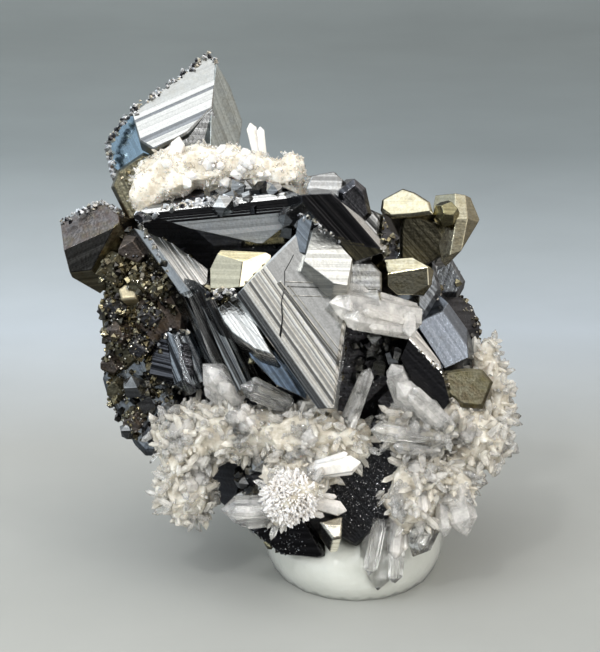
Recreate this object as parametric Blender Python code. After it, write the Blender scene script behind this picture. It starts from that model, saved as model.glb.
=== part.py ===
"""Tetrahedrite with pyrite and quartz, on a pad of mounting putty.

The display side faces -Y. A corner of a crystal is (right, up) or (right, up, near), in
millimetres as it shows from that side, counted from the specimen's middle. A crystal is a
block cleaved by flat faces: its front face looks a given way, and every other face bends
back from one that is there already, along an edge that shows between two corners.
"""

import math
import random

import bmesh
import bpy
from mathutils import Matrix, Vector

MM = 0.001
OBJECT = "tetrahedrite_with_pyrite_and_quartz"
# The display side is seen from here.
EYE_DISTANCE = 175.0
EYE_RISE = math.radians(17.0)
# The specimen's middle, from the middle of the surface that it stands on.
MIDDLE = Vector((0.9, -1.1, 19.8))
# The gap between one mineral and the next.
CLEARANCE = 0.1
# The putty's lobes before they are cut flat at the surface: (middle, radii). The heel is hidden
# behind the specimen's lower left, and steadies it.
PUTTY_PAD = (Vector((5.3, -1.1, 2.0)), Vector((7.6, 10.4, 4.6)))
PUTTY_HEEL = (Vector((0.5, 6.2, 1.6)), Vector((4.7, 5.8, 4.0)))
# Crystals with their middles under this height can touch the putty.
PUTTY_REACH = 11.0

RIGHT = Vector((1.0, 0.0, 0.0))
UP = Vector((0.0, math.sin(EYE_RISE), math.cos(EYE_RISE)))
NEAR = Vector((0.0, -math.cos(EYE_RISE), math.sin(EYE_RISE)))
EYE = MIDDLE + NEAR * EYE_DISTANCE


def seen(right, up, near=0.0):
    """The point that shows at right and up, and lies near in front of the middle."""
    shrink = 1.0 - near / EYE_DISTANCE
    return MIDDLE + (RIGHT * right + UP * up) * shrink + NEAR * near


def facing(turn, tilt):
    """The direction turn degrees to the right of the viewer and tilt degrees up."""
    turn, tilt = math.radians(turn), math.radians(tilt)
    level = RIGHT * math.sin(turn) + NEAR * math.cos(turn)
    return level * math.cos(tilt) + UP * math.sin(tilt)


def cleave(mesh, point, outward):
    """Cuts away what lies outside a plane, and closes the cut."""
    bmesh.ops.bisect_plane(
        mesh,
        geom=mesh.verts[:] + mesh.edges[:] + mesh.faces[:],
        dist=1e-4,
        plane_co=point,
        plane_no=outward,
        clear_outer=True,
    )
    rim = [edge for edge in mesh.edges if edge.is_boundary]
    if rim:
        bmesh.ops.holes_fill(mesh, edges=rim, sides=0)


class Solid:
    """A convex solid: a middle, a reach past all corners, and faces as (point, outward)."""

    def add_to(self, mesh, grow):
        """Adds the solid to a mesh, with every face moved out by grow."""
        block = bmesh.new()
        bmesh.ops.create_cube(block, size=2.0 * self.reach)
        bmesh.ops.translate(block, verts=block.verts, vec=self.middle)
        for point, outward in self.faces:
            cleave(block, point + outward * grow, outward)
        bmesh.ops.remove_doubles(block, verts=block.verts, dist=0.002)
        bmesh.ops.recalc_face_normals(block, faces=block.faces)
        scratch = bpy.data.meshes.new("scratch")
        block.to_mesh(scratch)
        block.free()
        mesh.from_mesh(scratch)
        bpy.data.meshes.remove(scratch)


class Crystal(Solid):
    """A crystal with a front face through middle, and bends (on, start, end, fold).

    A bend is the face to the left of the way from start to end, folded back by fold degrees
    from face number on. Face 0 is the front.
    """

    def __init__(self, middle, turn, tilt, thick, bends, reach=20.0):
        self.middle = seen(*middle)
        self.reach = reach
        front = facing(turn, tilt)
        self.faces = [(self.middle, front)]
        for on, start, end, fold in bends:
            start, end = self.lay(start, on), self.lay(end, on)
            outward = self.faces[on][1]
            aside = outward.cross((end - start).normalized())
            fold = math.radians(fold)
            self.faces.append((start, outward * math.cos(fold) + aside * math.sin(fold)))
        self.faces.append((self.middle - front * thick, -front))

    def lay(self, corner, on):
        """Where the line of sight through a corner meets one of the faces."""
        point, outward = self.faces[on]
        sight = seen(*corner) - EYE
        return EYE + sight * ((point - EYE).dot(outward) / sight.dot(outward))


def around(corners, folds, rim=0.4, wall=92.0):
    """Bends off the front along an outline, walked clockwise, and the walls rim outside it."""
    if not isinstance(folds, list):
        folds = [folds] * len(corners)
    slants = []
    walls = []
    for start, end, fold in zip(corners, corners[1:] + corners[:1], folds):
        slants.append((0, start, end, fold))
        length = math.dist(start, end)
        out = ((start[1] - end[1]) / length * rim, (end[0] - start[0]) / length * rim)
        start, end = ((corner[0] + out[0], corner[1] + out[1]) for corner in (start, end))
        walls.append((0, start, end, wall))
    return slants + walls


class Prism(Solid):
    """A quartz prism: six sides, and a six-sided point at its tip."""

    def __init__(self, root, tip, width, point=0.9, twist=0.3):
        root, tip = seen(*root), seen(*tip)
        along = (tip - root).normalized()
        side = along.orthogonal().normalized()
        self.middle = (root + tip) / 2.0
        self.reach = (tip - root).length + width
        self.faces = [(root, -along)]
        shoulder = tip - along * width * point
        for k in range(6):
            outward = Matrix.Rotation(twist + math.pi * k / 3.0, 3, along) @ side
            rim = shoulder + outward * width / 2.0
            slant = along.cross(outward).cross(tip - rim).normalized()
            if slant.dot(outward) < 0.0:
                slant.negate()
            self.faces.append((rim, outward))
            self.faces.append((tip, slant))


def turning(angles):
    """A rotation by three angles in degrees, about the directions right, up and near."""
    turned = Matrix.Identity(3)
    for angle, axis in zip(angles, (RIGHT, UP, NEAR)):
        turned = turned @ Matrix.Rotation(math.radians(angle), 3, axis)
    return turned


class Pyritohedron(Solid):
    """A twelve-faced pyrite crystal, turned by angles in degrees."""

    def __init__(self, middle, size, angles):
        self.middle = seen(*middle)
        self.reach = size
        turned = turning(angles)
        self.faces = []
        for one in (-1.0, 1.0):
            for two in (-2.0, 2.0):
                for way in ((0.0, one, two), (two, 0.0, one), (one, two, 0.0)):
                    outward = (turned @ Vector(way)).normalized()
                    self.faces.append((self.middle + outward * size / 2.0, outward))


class Tetrahedron(Solid):
    """A tetrahedrite crystal with blunt corners and edges, turned by angles in degrees."""

    # How far the faces, the blunt corners and the blunt edges lie from the middle of one of size 1
    FACES = 0.42
    CORNERS = 0.86
    EDGES = 0.62

    def __init__(self, middle, size, angles):
        self.middle = seen(*middle)
        self.reach = size
        turned = turning(angles)
        self.faces = []
        for way in ((1, 1, 1), (1, -1, -1), (-1, 1, -1), (-1, -1, 1)):
            outward = (turned @ Vector(way)).normalized()
            self.faces.append((self.middle + outward * size * self.FACES, outward))
            self.faces.append((self.middle - outward * size * self.CORNERS, -outward))
        for way in ((1, 0, 0), (-1, 0, 0), (0, 1, 0), (0, -1, 0), (0, 0, 1), (0, 0, -1)):
            outward = turned @ Vector(way)
            self.faces.append((self.middle + outward * size * self.EDGES, outward))


class Boulder(Solid):
    """A rough lump: planes spread over an ellipsoid of radii (right, up, near)."""

    def __init__(self, middle, radii, cuts, seed, ragged=0.14):
        chance = random.Random(seed)
        self.middle = seen(*middle)
        self.reach = 1.6 * max(radii)
        self.faces = []
        for k in range(cuts):
            up = 1.0 - 2.0 * (k + 0.5) / cuts
            turn = math.pi * (3.0 - math.sqrt(5.0)) * k + chance.uniform(-0.3, 0.3)
            ring = math.sqrt(1.0 - up * up)
            out = 1.0 - ragged * chance.random()
            way = (ring * math.cos(turn), up, ring * math.sin(turn))
            span = [out * along * radius for along, radius in zip(way, radii)]
            slope = [along / radius for along, radius in zip(way, radii)]
            self.faces.append((self.middle + in_view(span), in_view(slope).normalized()))


class Ground(Solid):
    """What lies under the surface that the specimen stands on."""

    def __init__(self):
        self.middle = Vector((0.0, 0.0, -10.0))
        self.reach = 30.0
        self.faces = [(Vector((0.0, 0.0, 0.0)), Vector((0.0, 0.0, 1.0)))]


def in_view(parts):
    """A direction from its parts to the right, up and near."""
    return RIGHT * parts[0] + UP * parts[1] + NEAR * parts[2]


def spray(middle, radius, count, length, width, seed, lean=(0.0, 0.2, 1.0), spread=1.0):
    """Small prisms that radiate from a middle, more of them the way that lean points."""
    chance = random.Random(seed)
    prisms = []
    for _ in range(count):
        way = Vector(lean).normalized() + Vector(chance.gauss(0.0, spread) for _ in range(3))
        way.normalize()
        out = length * chance.uniform(0.75, 1.25)
        root = [place + along * radius * 0.3 for place, along in zip(middle, way)]
        tip = [place + along * (radius + out) for place, along in zip(middle, way)]
        wide = width * chance.uniform(0.7, 1.3)
        prisms.append(Prism(root, tip, wide, twist=chance.uniform(0.0, 1.0)))
    return prisms


CORE = [
    Boulder((1.0, -1.0, -4.0), (11.0, 11.5, 8.0), 20, seed=3),
    Boulder((-9.6, 0.0, -2.0), (5.2, 7.5, 4.6), 14, seed=5),
    Boulder((2.0, -12.0, -1.0), (8.8, 5.6, 6.0), 14, seed=8),
    Boulder((8.6, -2.4, -4.6), (4.8, 7.6, 7.0), 14, seed=11),
    Boulder((-4.5, 8.0, -1.0), (8.0, 4.0, 5.0), 14, seed=12),
]

ROOF = Crystal((-5.0, 8.2, 6.5), 3, -8, 7.0, [
    (0, (-12.0, 8.6), (0.2, 9.7), 12),
    (1, (-12.8, 9.0), (0.2, 10.4), 32),
    (2, (-12.8, 9.3), (0.2, 10.9), 45),
    (0, (0.2, 9.7), (-0.1, 8.8), 85),
    (0, (-0.1, 8.8), (-3.0, 6.6), 95),
    (0, (-3.0, 6.6), (-5.2, 6.6), 95),
    (0, (-5.2, 6.6), (-8.8, 7.8), 100),
    (0, (-8.8, 7.8), (-12.8, 8.7), 95),
    (0, (-13.0, 8.5), (-12.7, 9.2), 90),
])

WALL = Crystal((-8.8, 4.9, 5.0), 20, 24, 5.0, [
    (0, (-12.9, 8.6), (-10.2, 6.6), 80),
    (0, (-10.2, 6.6), (-7.2, 5.2), 80),
    (0, (-7.2, 5.2), (-7.4, 3.3), 70),
    (0, (-7.4, 3.3), (-8.5, 2.4), 70),
    (0, (-8.5, 2.4), (-12.9, 8.4), 48),
    (5, (-9.1, 1.9), (-13.4, 8.0), 45),
    (0, (-13.3, 8.2), (-12.8, 8.7), 85),
])

KITE = Crystal((0.0, 0.5, 10.0), 8, 12, 9.0, [
    (0, (-4.6, 3.0), (-1.2, 6.9), 80),
    (0, (-1.2, 6.9), (0.2, 8.2), 80),
    (0, (0.2, 8.2), (4.0, 3.0), 80),
    (0, (4.0, 3.0), (3.7, 0.1), 80),
    (0, (3.7, 0.1), (2.7, -6.6), 48),
    (5, (4.2, -0.3), (3.1, -6.6), 55),
    (0, (2.7, -6.6), (2.1, -6.6), 90),
    (0, (2.1, -6.6), (-4.6, 3.0), 16),
    (8, (1.5, -6.7), (-5.2, 2.6), 75),
    (8, (-5.2, 2.6), (-4.6, 3.2), 85),
])

# The bright ledge to the left of the kite, and the blue face under it
LEDGE = Crystal((-5.0, 0.6, 9.2), -14, 27, 5.0, around(
    [(-6.6, 1.5), (-5.0, 2.4), (-4.4, 1.7), (-2.3, -2.2), (-3.6, -1.8), (-5.4, -0.5), (-6.1, 0.4)],
    70, rim=0.15))
BLUE = Crystal((-2.4, -3.4, 9.0), -22, -6, 5.0, around(
    [(-4.4, -1.5), (-2.3, -2.1), (-1.2, -3.5), (0.3, -5.9), (-0.6, -6.1), (-1.9, -4.7), (-3.2, -4.1)],
    65, rim=0.15))

PLATES = Crystal((2.4, 5.1, 10.9), 4, 28, 5.0, [
    (0, (0.5, 6.1), (3.1, 6.6), 12),
    (1, (0.6, 6.2), (1.2, 8.3), 80),
    (1, (1.2, 8.3), (3.3, 6.6), 80),
    (0, (3.1, 6.6), (4.2, 5.4), 85),
    (0, (4.2, 5.4), (3.8, 3.2), 85),
    (0, (3.8, 3.2), (2.7, 3.4), 90),
    (0, (2.7, 3.4), (0.3, 5.2), 90),
    (0, (0.3, 5.2), (0.5, 6.1), 85),
])

BLADE = Crystal((3.0, 8.1, 10.3), 4, 3, 5.0, [
    (0, (0.0, 10.5), (2.5, 10.6), 75),
    (0, (2.5, 10.6), (3.1, 10.1), 75),
    (0, (3.1, 10.1), (6.7, 5.9), 50),
    (3, (3.6, 10.3), (7.1, 6.2), 60),
    (0, (6.7, 5.9), (4.5, 5.3), 80),
    (0, (5.8, 6.3), (3.0, 6.7), 22),
    (0, (4.3, 5.2), (1.9, 7.9), 80),
    (0, (1.9, 7.9), (0.2, 9.6), 80),
    (0, (0.2, 9.6), (0.0, 10.5), 80),
])

FANG = Crystal((10.0, -3.9, 6.0), 0, -5, 6.0, [
    (0, (8.7, -1.0), (11.4, -3.8), 45),
    (1, (9.4, -0.4), (11.7, -3.5), 60),
    (0, (11.4, -3.8), (12.0, -6.1), 80),
    (0, (12.0, -6.1), (11.3, -6.9), 80),
    (0, (11.3, -6.9), (9.0, -4.5), 80),
    (0, (9.0, -4.5), (8.0, -2.6), 80),
    (0, (8.0, -2.6), (8.7, -1.0), 80),
])

DOME = Crystal((12.0, -0.5, 3.5), 12, 8, 7.0, [
    (0, (11.6, 1.0), (13.4, -1.6), 28),
    (1, (12.2, 1.4), (14.0, -1.1), 55),
    (0, (9.8, 0.4), (11.8, 1.4), 50),
    (0, (13.4, -1.6), (13.5, -2.6), 60),
    (0, (14.0, -2.3), (11.6, -3.4), 80),
    (0, (11.6, -3.4), (9.4, 0.0), 80),
])

SMALLER = [
    # Grey crystals behind the blade, and beside it
    Crystal((2.0, 11.4, 7.0), 10, 25, 6.0, around(
        [(0.6, 11.1), (1.0, 12.0), (2.7, 12.3), (3.4, 11.7), (3.2, 10.0), (0.4, 10.0)], 60)),
    Crystal((4.5, 10.0, 8.6), 5, -6, 6.0, around(
        [(3.5, 10.6), (4.4, 11.3), (5.0, 10.8), (5.4, 9.0), (4.4, 8.0), (3.4, 9.4)], 55)),
    Crystal((6.5, 8.0, 7.0), 12, 14, 6.0, around(
        [(4.9, 10.5), (6.6, 10.6), (6.4, 8.8), (8.2, 8.0), (8.2, 6.4), (7.0, 5.4), (4.6, 8.0)], 50)),
    # The small dark peaks under the roof
    Crystal((-2.8, 7.6, 5.6), -5, -20, 5.0, around(
        [(-4.4, 6.8), (-3.3, 7.9), (-1.6, 8.4), (-1.2, 6.6), (-4.4, 6.4)], 60)),
    Crystal((0.4, 6.6, 9.2), -25, 5, 4.0, around(
        [(-0.2, 8.4), (0.6, 9.0), (1.0, 8.4), (0.4, 5.8), (-0.5, 6.0)], 60)),
    # The grey mass between the pyrite cluster and the dome
    Crystal((11.0, 3.8, 3.2), 10, 12, 7.0, around(
        [(9.6, 3.6), (11.2, 5.6), (12.8, 5.8), (12.0, 4.5), (11.1, 2.6), (11.6, 0.4), (9.4, -0.6)], 50)),
    # The rough black face at the foot, and the black underside
    Crystal((5.4, -13.0, 5.5), -6, -12, 8.0, around(
        [(3.0, -11.8), (4.6, -9.4), (6.8, -9.0), (7.8, -10.4), (7.9, -12.5), (7.3, -14.8),
         (4.4, -17.4), (3.0, -16.6)], 60)),
    Crystal((-2.0, -17.2, 4.2), 0, -22, 7.0, around(
        [(-5.4, -17.3), (-2.0, -15.6), (0.3, -15.6), (1.8, -18.4), (-0.5, -18.9), (-1.4, -18.2),
         (-5.2, -17.8)], 50, rim=0.2)),
    # The slate mass at the left edge, the hillock over it, and the tarnished blocks
    Crystal((-13.4, -5.6, 2.0), -24, 2, 6.0, around(
        [(-15.0, -2.0), (-11.6, -1.8), (-10.6, -6.0), (-11.2, -10.0), (-12.4, -10.0), (-13.1, -9.3),
         (-14.2, -7.3), (-15.3, -5.3), (-15.6, -4.2)], 45)),
    Crystal((-10.6, -2.6, 4.6), -26, 2, 5.0, around(
        [(-11.7, -1.4), (-10.4, -0.6), (-9.4, -1.6), (-9.0, -4.6), (-12.2, -4.0)], 50)),
    Crystal((-9.0, -2.4, 5.0), 16, 8, 5.0, around(
        [(-10.2, -0.7), (-8.9, -0.6), (-8.0, -2.5), (-7.7, -4.4), (-8.6, -5.0), (-9.6, -4.4)], 45)),
    Crystal((-13.4, 2.0, 3.0), -20, 10, 6.0, around(
        [(-15.2, 3.6), (-13.6, 5.2), (-11.6, 4.6), (-11.2, 1.6), (-12.6, -0.4), (-15.2, -0.2),
         (-15.6, 1.6)], 40)),
    Crystal((-11.0, 0.8, 4.0), 6, -4, 6.0, around(
        [(-12.4, 2.6), (-10.6, 4.2), (-9.4, 2.2), (-9.6, -0.6), (-11.8, -1.6), (-12.8, 0.2)], 45)),
    Crystal((-13.8, -1.2, 2.6), -14, -14, 6.0, around(
        [(-15.6, 0.6), (-13.0, 1.0), (-12.0, -1.4), (-14.0, -3.4), (-15.2, -2.4)], 40)),
    # Long dark crystals side by side, between the wall and the kite
    Crystal((-7.0, -1.0, 6.6), -34, -4, 5.0, around(
        [(-8.4, 2.8), (-7.8, 3.2), (-4.2, -4.8), (-5.0, -5.4)], 70, rim=0.2)),
    Crystal((-6.2, -0.6, 7.4), 24, -10, 5.0, around(
        [(-7.8, 3.1), (-7.0, 2.6), (-3.4, -4.4), (-4.2, -5.0)], 70, rim=0.2)),
    Crystal((-7.9, -1.6, 5.6), 14, -8, 5.0, around(
        [(-9.2, 2.4), (-8.3, 2.8), (-5.0, -5.0), (-6.4, -5.4)], 70, rim=0.2)),
]

# The bright crown: its front, its grey right side, its blue left side and its foot
CROWN = [
    Crystal((-9.6, 17.6, -1.0), -6, 27, 6.0, around(
        [(-13.4, 17.0), (-7.3, 21.7), (-6.7, 21.1), (-7.0, 17.5), (-9.0, 15.4), (-11.6, 14.0),
         (-12.8, 14.8)], 85, rim=0.1)),
    Crystal((-7.0, 17.5, -0.8), 34, 18, 6.0, around(
        [(-7.1, 17.5), (-6.7, 21.1), (-5.6, 19.2), (-4.6, 16.4), (-5.0, 13.4), (-7.2, 13.4)],
        85, rim=0.05)),
    Crystal((-8.0, 15.2, -0.4), 14, -4, 6.0, around(
        [(-9.4, 15.3), (-7.0, 17.4), (-6.2, 15.0), (-6.6, 12.6), (-9.8, 12.6)], 80, rim=0.1)),
    Crystal((-13.8, 14.8, -2.0), -36, 6, 5.0, around(
        [(-15.5, 14.3), (-14.9, 15.7), (-13.4, 17.0), (-12.0, 15.4), (-12.2, 11.0), (-14.4, 11.6)],
        75, rim=0.15)),
    Crystal((-12.6, 11.0, 0.0), -10, 4, 6.0, around(
        [(-14.9, 11.2), (-14.5, 12.3), (-12.6, 13.6), (-10.8, 13.4), (-10.4, 9.0), (-13.6, 8.6)], 60)),
    Crystal((-9.0, 12.0, -2.6), 0, 10, 5.0, around(
        [(-13.2, 12.0), (-12.0, 15.2), (-6.4, 15.6), (-5.0, 12.0), (-5.6, 8.0), (-12.0, 8.0)], 80)),
]

# Rough tarnished lumps at the left edge: (middle, radius)
ROUGH = [
    ((-14.7, 4.6, 3.0), 1.2), ((-13.1, 6.2, 3.0), 1.2), ((-15.0, 1.4, 3.0), 0.9),
    ((-12.7, 3.4, 4.5), 0.9), ((-14.4, -0.6, 3.6), 1.0), ((-12.0, 0.8, 5.0), 0.8),
    ((-11.3, 3.0, 5.0), 0.7), ((-15.0, -3.0, 1.6), 0.8), ((-12.9, -1.6, 4.2), 0.8),
    ((-14.5, -5.0, 1.6), 0.9), ((-13.0, -7.6, 2.2), 0.9), ((-12.4, -5.2, 2.6), 0.7),
]

# Blunt tetrahedra on the back and the sides: (middle, size, angles)
BACK = [
    Tetrahedron((-6.5, 5.0, -7.5), 6.5, (200, 30, 10)),
    Tetrahedron((0.0, 7.5, -7.0), 6.5, (160, -20, 40)),
    Tetrahedron((6.0, 4.0, -9.5), 7.0, (190, 15, 75)),
    Tetrahedron((-3.5, -2.5, -10.5), 7.0, (185, -35, 20)),
    Tetrahedron((5.0, -4.0, -10.5), 7.0, (170, 40, 100)),
    Tetrahedron((9.6, -3.0, -8.6), 5.6, (180, 60, 30)),
    Tetrahedron((-10.0, -2.5, -5.5), 5.0, (190, -60, 65)),
    Tetrahedron((1.5, -10.5, -7.5), 6.0, (200, 10, 130)),
    Tetrahedron((8.0, -10.0, -5.5), 5.5, (150, 35, 15)),
    Tetrahedron((-5.5, -9.0, -4.5), 5.0, (160, -25, 90)),
    Tetrahedron((9.5, 4.6, -3.5), 4.6, (120, 40, 10)),
]

TETRAHEDRITE = CORE + [ROOF, WALL, KITE, LEDGE, BLUE, PLATES, BLADE, FANG, DOME]
TETRAHEDRITE += SMALLER + CROWN + BACK
TETRAHEDRITE += [
    Boulder(middle, (radius, radius, radius), 10, seed=80 + k)
    for k, (middle, radius) in enumerate(ROUGH)
]

PYRITE_LEFT = [
    Crystal((-16.8, 6.1, 2.5), -10, 0, 5.5, [
        (0, (-18.9, 6.1), (-14.9, 7.9), 35),
        (1, (-19.1, 8.3), (-16.1, 10.0), 60),
        (1, (-16.1, 10.0), (-14.3, 8.7), 70),
        (0, (-14.9, 7.9), (-16.6, 4.7), 40),
        (4, (-13.2, 6.3), (-15.1, 3.5), 80),
        (0, (-16.7, 4.5), (-18.4, 4.3), 45),
        (6, (-16.0, 2.6), (-18.1, 3.8), 70),
        (0, (-18.4, 4.2), (-18.9, 6.1), 85),
        (4, (-14.2, 7.9), (-13.2, 6.3), 60),
    ]),
]

PYRITE_MIDDLE = [
    Crystal((-6.0, 4.4, 9.4), -22, 6, 3.6, [
        (0, (-4.6, 5.2), (-4.9, 3.0), 42),
        (0, (-6.6, 5.8), (-4.6, 5.2), 45),
        (2, (-6.5, 6.1), (-2.4, 5.9), 85),
        (1, (-2.3, 5.7), (-2.5, 3.7), 85),
        (0, (-4.9, 3.0), (-7.2, 3.0), 90),
        (1, (-3.4, 3.3), (-4.9, 3.1), 90),
        (0, (-7.2, 3.0), (-7.2, 4.6), 90),
        (0, (-7.2, 4.6), (-6.6, 5.8), 80),
    ]),
]

PYRITE_CLUSTER = [
    Crystal((8.4, 9.9, 6.3), -12, 22, 4.0, around(
        [(6.6, 9.4), (6.7, 10.1), (8.2, 10.9), (9.1, 10.6), (10.2, 9.9), (10.4, 9.2), (8.9, 9.0),
         (7.3, 8.9)], 50, rim=0.2)),
    Crystal((12.6, 8.0, 6.5), 5, 8, 4.0, [
        (0, (12.4, 8.6), (13.4, 8.6), 25),
        (0, (11.0, 6.0), (12.4, 8.6), 50),
        (1, (12.6, 8.4), (11.6, 10.7), 45),
        (1, (11.4, 10.8), (13.2, 10.5), 70),
        (1, (13.2, 10.5), (13.4, 8.6), 40),
        (0, (13.4, 8.6), (12.9, 6.0), 40),
        (5, (13.9, 9.7), (14.4, 8.5), 60),
        (6, (14.4, 8.5), (12.9, 6.0), 60),
        (0, (12.9, 6.0), (11.1, 5.3), 75),
        (0, (11.1, 5.3), (11.0, 6.0), 75),
        (3, (10.6, 9.6), (10.7, 10.3), 60),
        (2, (11.0, 6.2), (10.6, 9.8), 70),
    ]),
    Pyritohedron((11.7, 9.0, 6.4), 1.7, (20, 30, 10)),
    Crystal((9.8, 7.2, 6.0), 0, -12, 4.0, around(
        [(8.2, 7.5), (8.6, 9.4), (10.2, 9.4), (10.9, 8.0), (12.2, 7.4), (11.2, 5.6), (9.4, 4.6),
         (8.2, 5.4)], 60, rim=0.2)),
    Crystal((8.8, 3.8, 8.0), -5, -5, 4.5, [
        (0, (7.0, 4.2), (10.2, 4.7), 38),
        (0, (10.2, 4.8), (10.3, 3.1), 45),
        (0, (10.2, 3.2), (9.0, 2.5), 60),
        (0, (9.0, 2.5), (7.8, 2.5), 80),
        (0, (7.8, 2.5), (7.0, 3.2), 70),
        (0, (7.0, 3.2), (7.0, 4.2), 70),
        (1, (7.4, 6.4), (9.0, 5.5), 70),
        (1, (9.0, 5.5), (10.2, 5.6), 60),
        (2, (11.0, 5.8), (10.7, 4.2), 70),
    ]),
]

PYRITE_INNER = [
    Crystal((5.2, 4.0, 9.0), 10, 8, 4.0, around(
        [(4.0, 3.0), (4.0, 5.0), (5.7, 5.0), (6.4, 4.2), (6.4, 2.9)], 45, rim=0.2)),
    Crystal((5.0, 2.6, 9.2), 0, 32, 3.0, around(
        [(3.8, 2.4), (4.2, 3.1), (6.2, 2.9), (6.4, 1.9)], 50, rim=0.2)),
]

PYRITE_RIGHT = [
    Crystal((13.4, -4.8, 4.2), 8, 10, 4.5, around(
        [(11.7, -5.2), (11.8, -3.8), (13.4, -3.6), (14.5, -3.7), (15.2, -4.5), (14.5, -6.3),
         (13.1, -6.2)], 42, rim=0.3)),
]

PYRITE_LOW = [
    Crystal((2.7, -16.0, 7.2), 4, 28, 3.0, around(
        [(1.8, -15.7), (3.3, -15.3), (3.2, -16.8), (2.7, -16.9)], 50, rim=0.15)),
]

PYRITE_SPECK = [
    Crystal((-13.7, 2.7, 4.6), -10, 15, 2.5, around(
        [(-14.4, 2.9), (-14.0, 3.2), (-13.1, 3.1), (-13.2, 2.3), (-14.2, 2.2)], 45, rim=0.15)),
]

QUARTZ_CREST = [
    Boulder((-10.4, 12.1, 2.5), (2.0, 2.1, 2.2), 12, seed=21),
    Boulder((-7.6, 12.7, 2.8), (2.3, 1.7, 2.2), 12, seed=22),
    Boulder((-4.4, 12.7, 2.5), (2.5, 1.4, 2.2), 12, seed=23),
    Boulder((-1.2, 12.0, 2.5), (1.8, 1.2, 2.1), 12, seed=24),
    Boulder((-12.0, 10.6, 3.2), (1.2, 1.2, 1.5), 10, seed=25),
    Prism((-3.2, 13.0, 2.0), (-4.0, 16.3, 2.0), 0.8),
    Prism((-2.9, 13.0, 2.4), (-3.2, 16.0, 2.6), 0.6),
]
QUARTZ_CREST += spray((-10.2, 12.4, 2.8), 1.9, 7, 0.8, 0.9, 31)
QUARTZ_CREST += spray((-7.2, 12.6, 3.0), 1.9, 7, 0.8, 0.9, 32)
QUARTZ_CREST += spray((-4.0, 12.6, 3.0), 1.6, 7, 0.7, 0.9, 33)

QUARTZ_MIDDLE = [
    Prism((9.2, 0.6, 7.0), (2.3, 1.9, 10.8), 2.0, twist=0.2),
    Prism((8.6, -0.2, 8.2), (3.4, 0.7, 11.2), 1.5),
    Prism((8.8, 0.8, 8.6), (8.8, -0.9, 10.2), 0.9),
]

QUARTZ_LEFT = [
    Boulder((-9.0, -9.3, 3.8), (2.6, 2.8, 2.7), 14, seed=41),
    Boulder((-8.9, -12.8, 2.8), (2.0, 2.6, 2.3), 14, seed=42),
    Boulder((-4.6, -8.3, 5.6), (3.6, 2.0, 2.4), 14, seed=43),
    Boulder((0.3, -8.6, 6.6), (3.4, 1.9, 2.1), 14, seed=44),
    Boulder((3.4, -9.0, 6.2), (1.9, 1.8, 1.9), 12, seed=45),
    Boulder((0.2, -11.6, 6.0), (2.2, 2.1, 1.9), 12, seed=46),
    Boulder((-0.8, -13.6, 7.8), (1.8, 1.8, 1.6), 14, seed=47),
    Prism((4.0, -7.8, 7.2), (5.6, -3.3, 8.8), 1.0),
    Prism((1.0, -11.5, 7.4), (4.9, -10.9, 9.0), 1.2),
    Prism((-1.0, -14.6, 6.4), (-6.4, -14.7, 6.6), 1.9),
    Prism((-0.6, -13.6, 7.0), (3.8, -14.8, 7.9), 1.1),
    Prism((-5.0, -5.8, 5.5), (-7.8, -3.0, 6.8), 2.0),
    Prism((-1.0, -6.4, 6.6), (-4.8, -4.7, 8.4), 1.3),
]
QUARTZ_LEFT += spray((-9.0, -9.3, 4.0), 2.4, 11, 0.9, 1.1, 51)
QUARTZ_LEFT += spray((-8.8, -12.6, 3.0), 2.1, 9, 0.8, 1.0, 52)
QUARTZ_LEFT += spray((-4.8, -8.3, 6.0), 2.0, 11, 1.0, 1.0, 53)
QUARTZ_LEFT += spray((0.3, -8.6, 6.8), 1.8, 10, 1.0, 1.0, 54)
QUARTZ_LEFT += spray((0.2, -11.6, 6.2), 1.7, 6, 1.0, 0.9, 55)

QUARTZ_RIGHT = [
    Boulder((14.0, -9.1, 2.4), (2.5, 2.5, 2.7), 14, seed=61),
    Boulder((12.2, -7.6, 3.2), (1.9, 1.6, 1.9), 12, seed=62),
    Boulder((15.0, -3.4, 0.8), (1.0, 2.1, 1.6), 12, seed=63),
    Boulder((15.9, -6.3, 0.8), (0.9, 2.3, 1.6), 12, seed=64),
    Boulder((9.6, -12.0, 5.2), (2.1, 1.6, 2.1), 12, seed=65),
    Boulder((8.8, -14.2, 4.6), (2.1, 2.2, 2.2), 12, seed=66),
    Boulder((12.0, -12.8, 3.6), (1.8, 2.1, 2.0), 12, seed=67),
    Boulder((9.4, -8.6, 6.0), (2.4, 1.7, 1.9), 12, seed=68),
    Prism((9.6, -8.0, 6.6), (7.3, -3.0, 8.8), 1.4, point=0.5),
    Prism((11.0, -7.6, 7.4), (7.7, -4.5, 9.6), 1.5),
    Prism((11.6, -8.2, 6.8), (9.2, -5.4, 9.0), 1.1),
    Prism((11.8, -9.1, 6.6), (5.6, -8.3, 9.2), 1.4),
    Prism((11.0, -9.9, 6.6), (7.4, -9.6, 8.8), 1.0),
    Prism((12.2, -12.8, 4.6), (13.4, -16.9, 5.0), 2.1),
    Prism((9.7, -13.0, 6.0), (9.7, -15.4, 6.8), 0.9),
    Prism((7.8, -13.6, 6.0), (8.2, -15.9, 6.8), 0.9),
    Prism((6.9, -15.4, 4.4), (6.2, -21.2, 4.2), 1.9),
    Prism((10.5, -15.4, 4.2), (9.0, -18.5, 4.8), 1.8),
    Prism((7.9, -15.4, 4.8), (7.6, -18.7, 5.4), 0.9),
    Prism((15.6, -8.8, 2.4), (17.6, -10.2, 2.6), 1.0),
    Prism((13.0, -12.0, 3.8), (15.1, -12.6, 4.4), 0.8),
]
QUARTZ_RIGHT += spray((14.0, -9.1, 2.6), 2.3, 11, 0.7, 0.9, 71)
QUARTZ_RIGHT += spray((9.6, -12.0, 5.6), 1.8, 9, 0.7, 0.9, 72)
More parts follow.
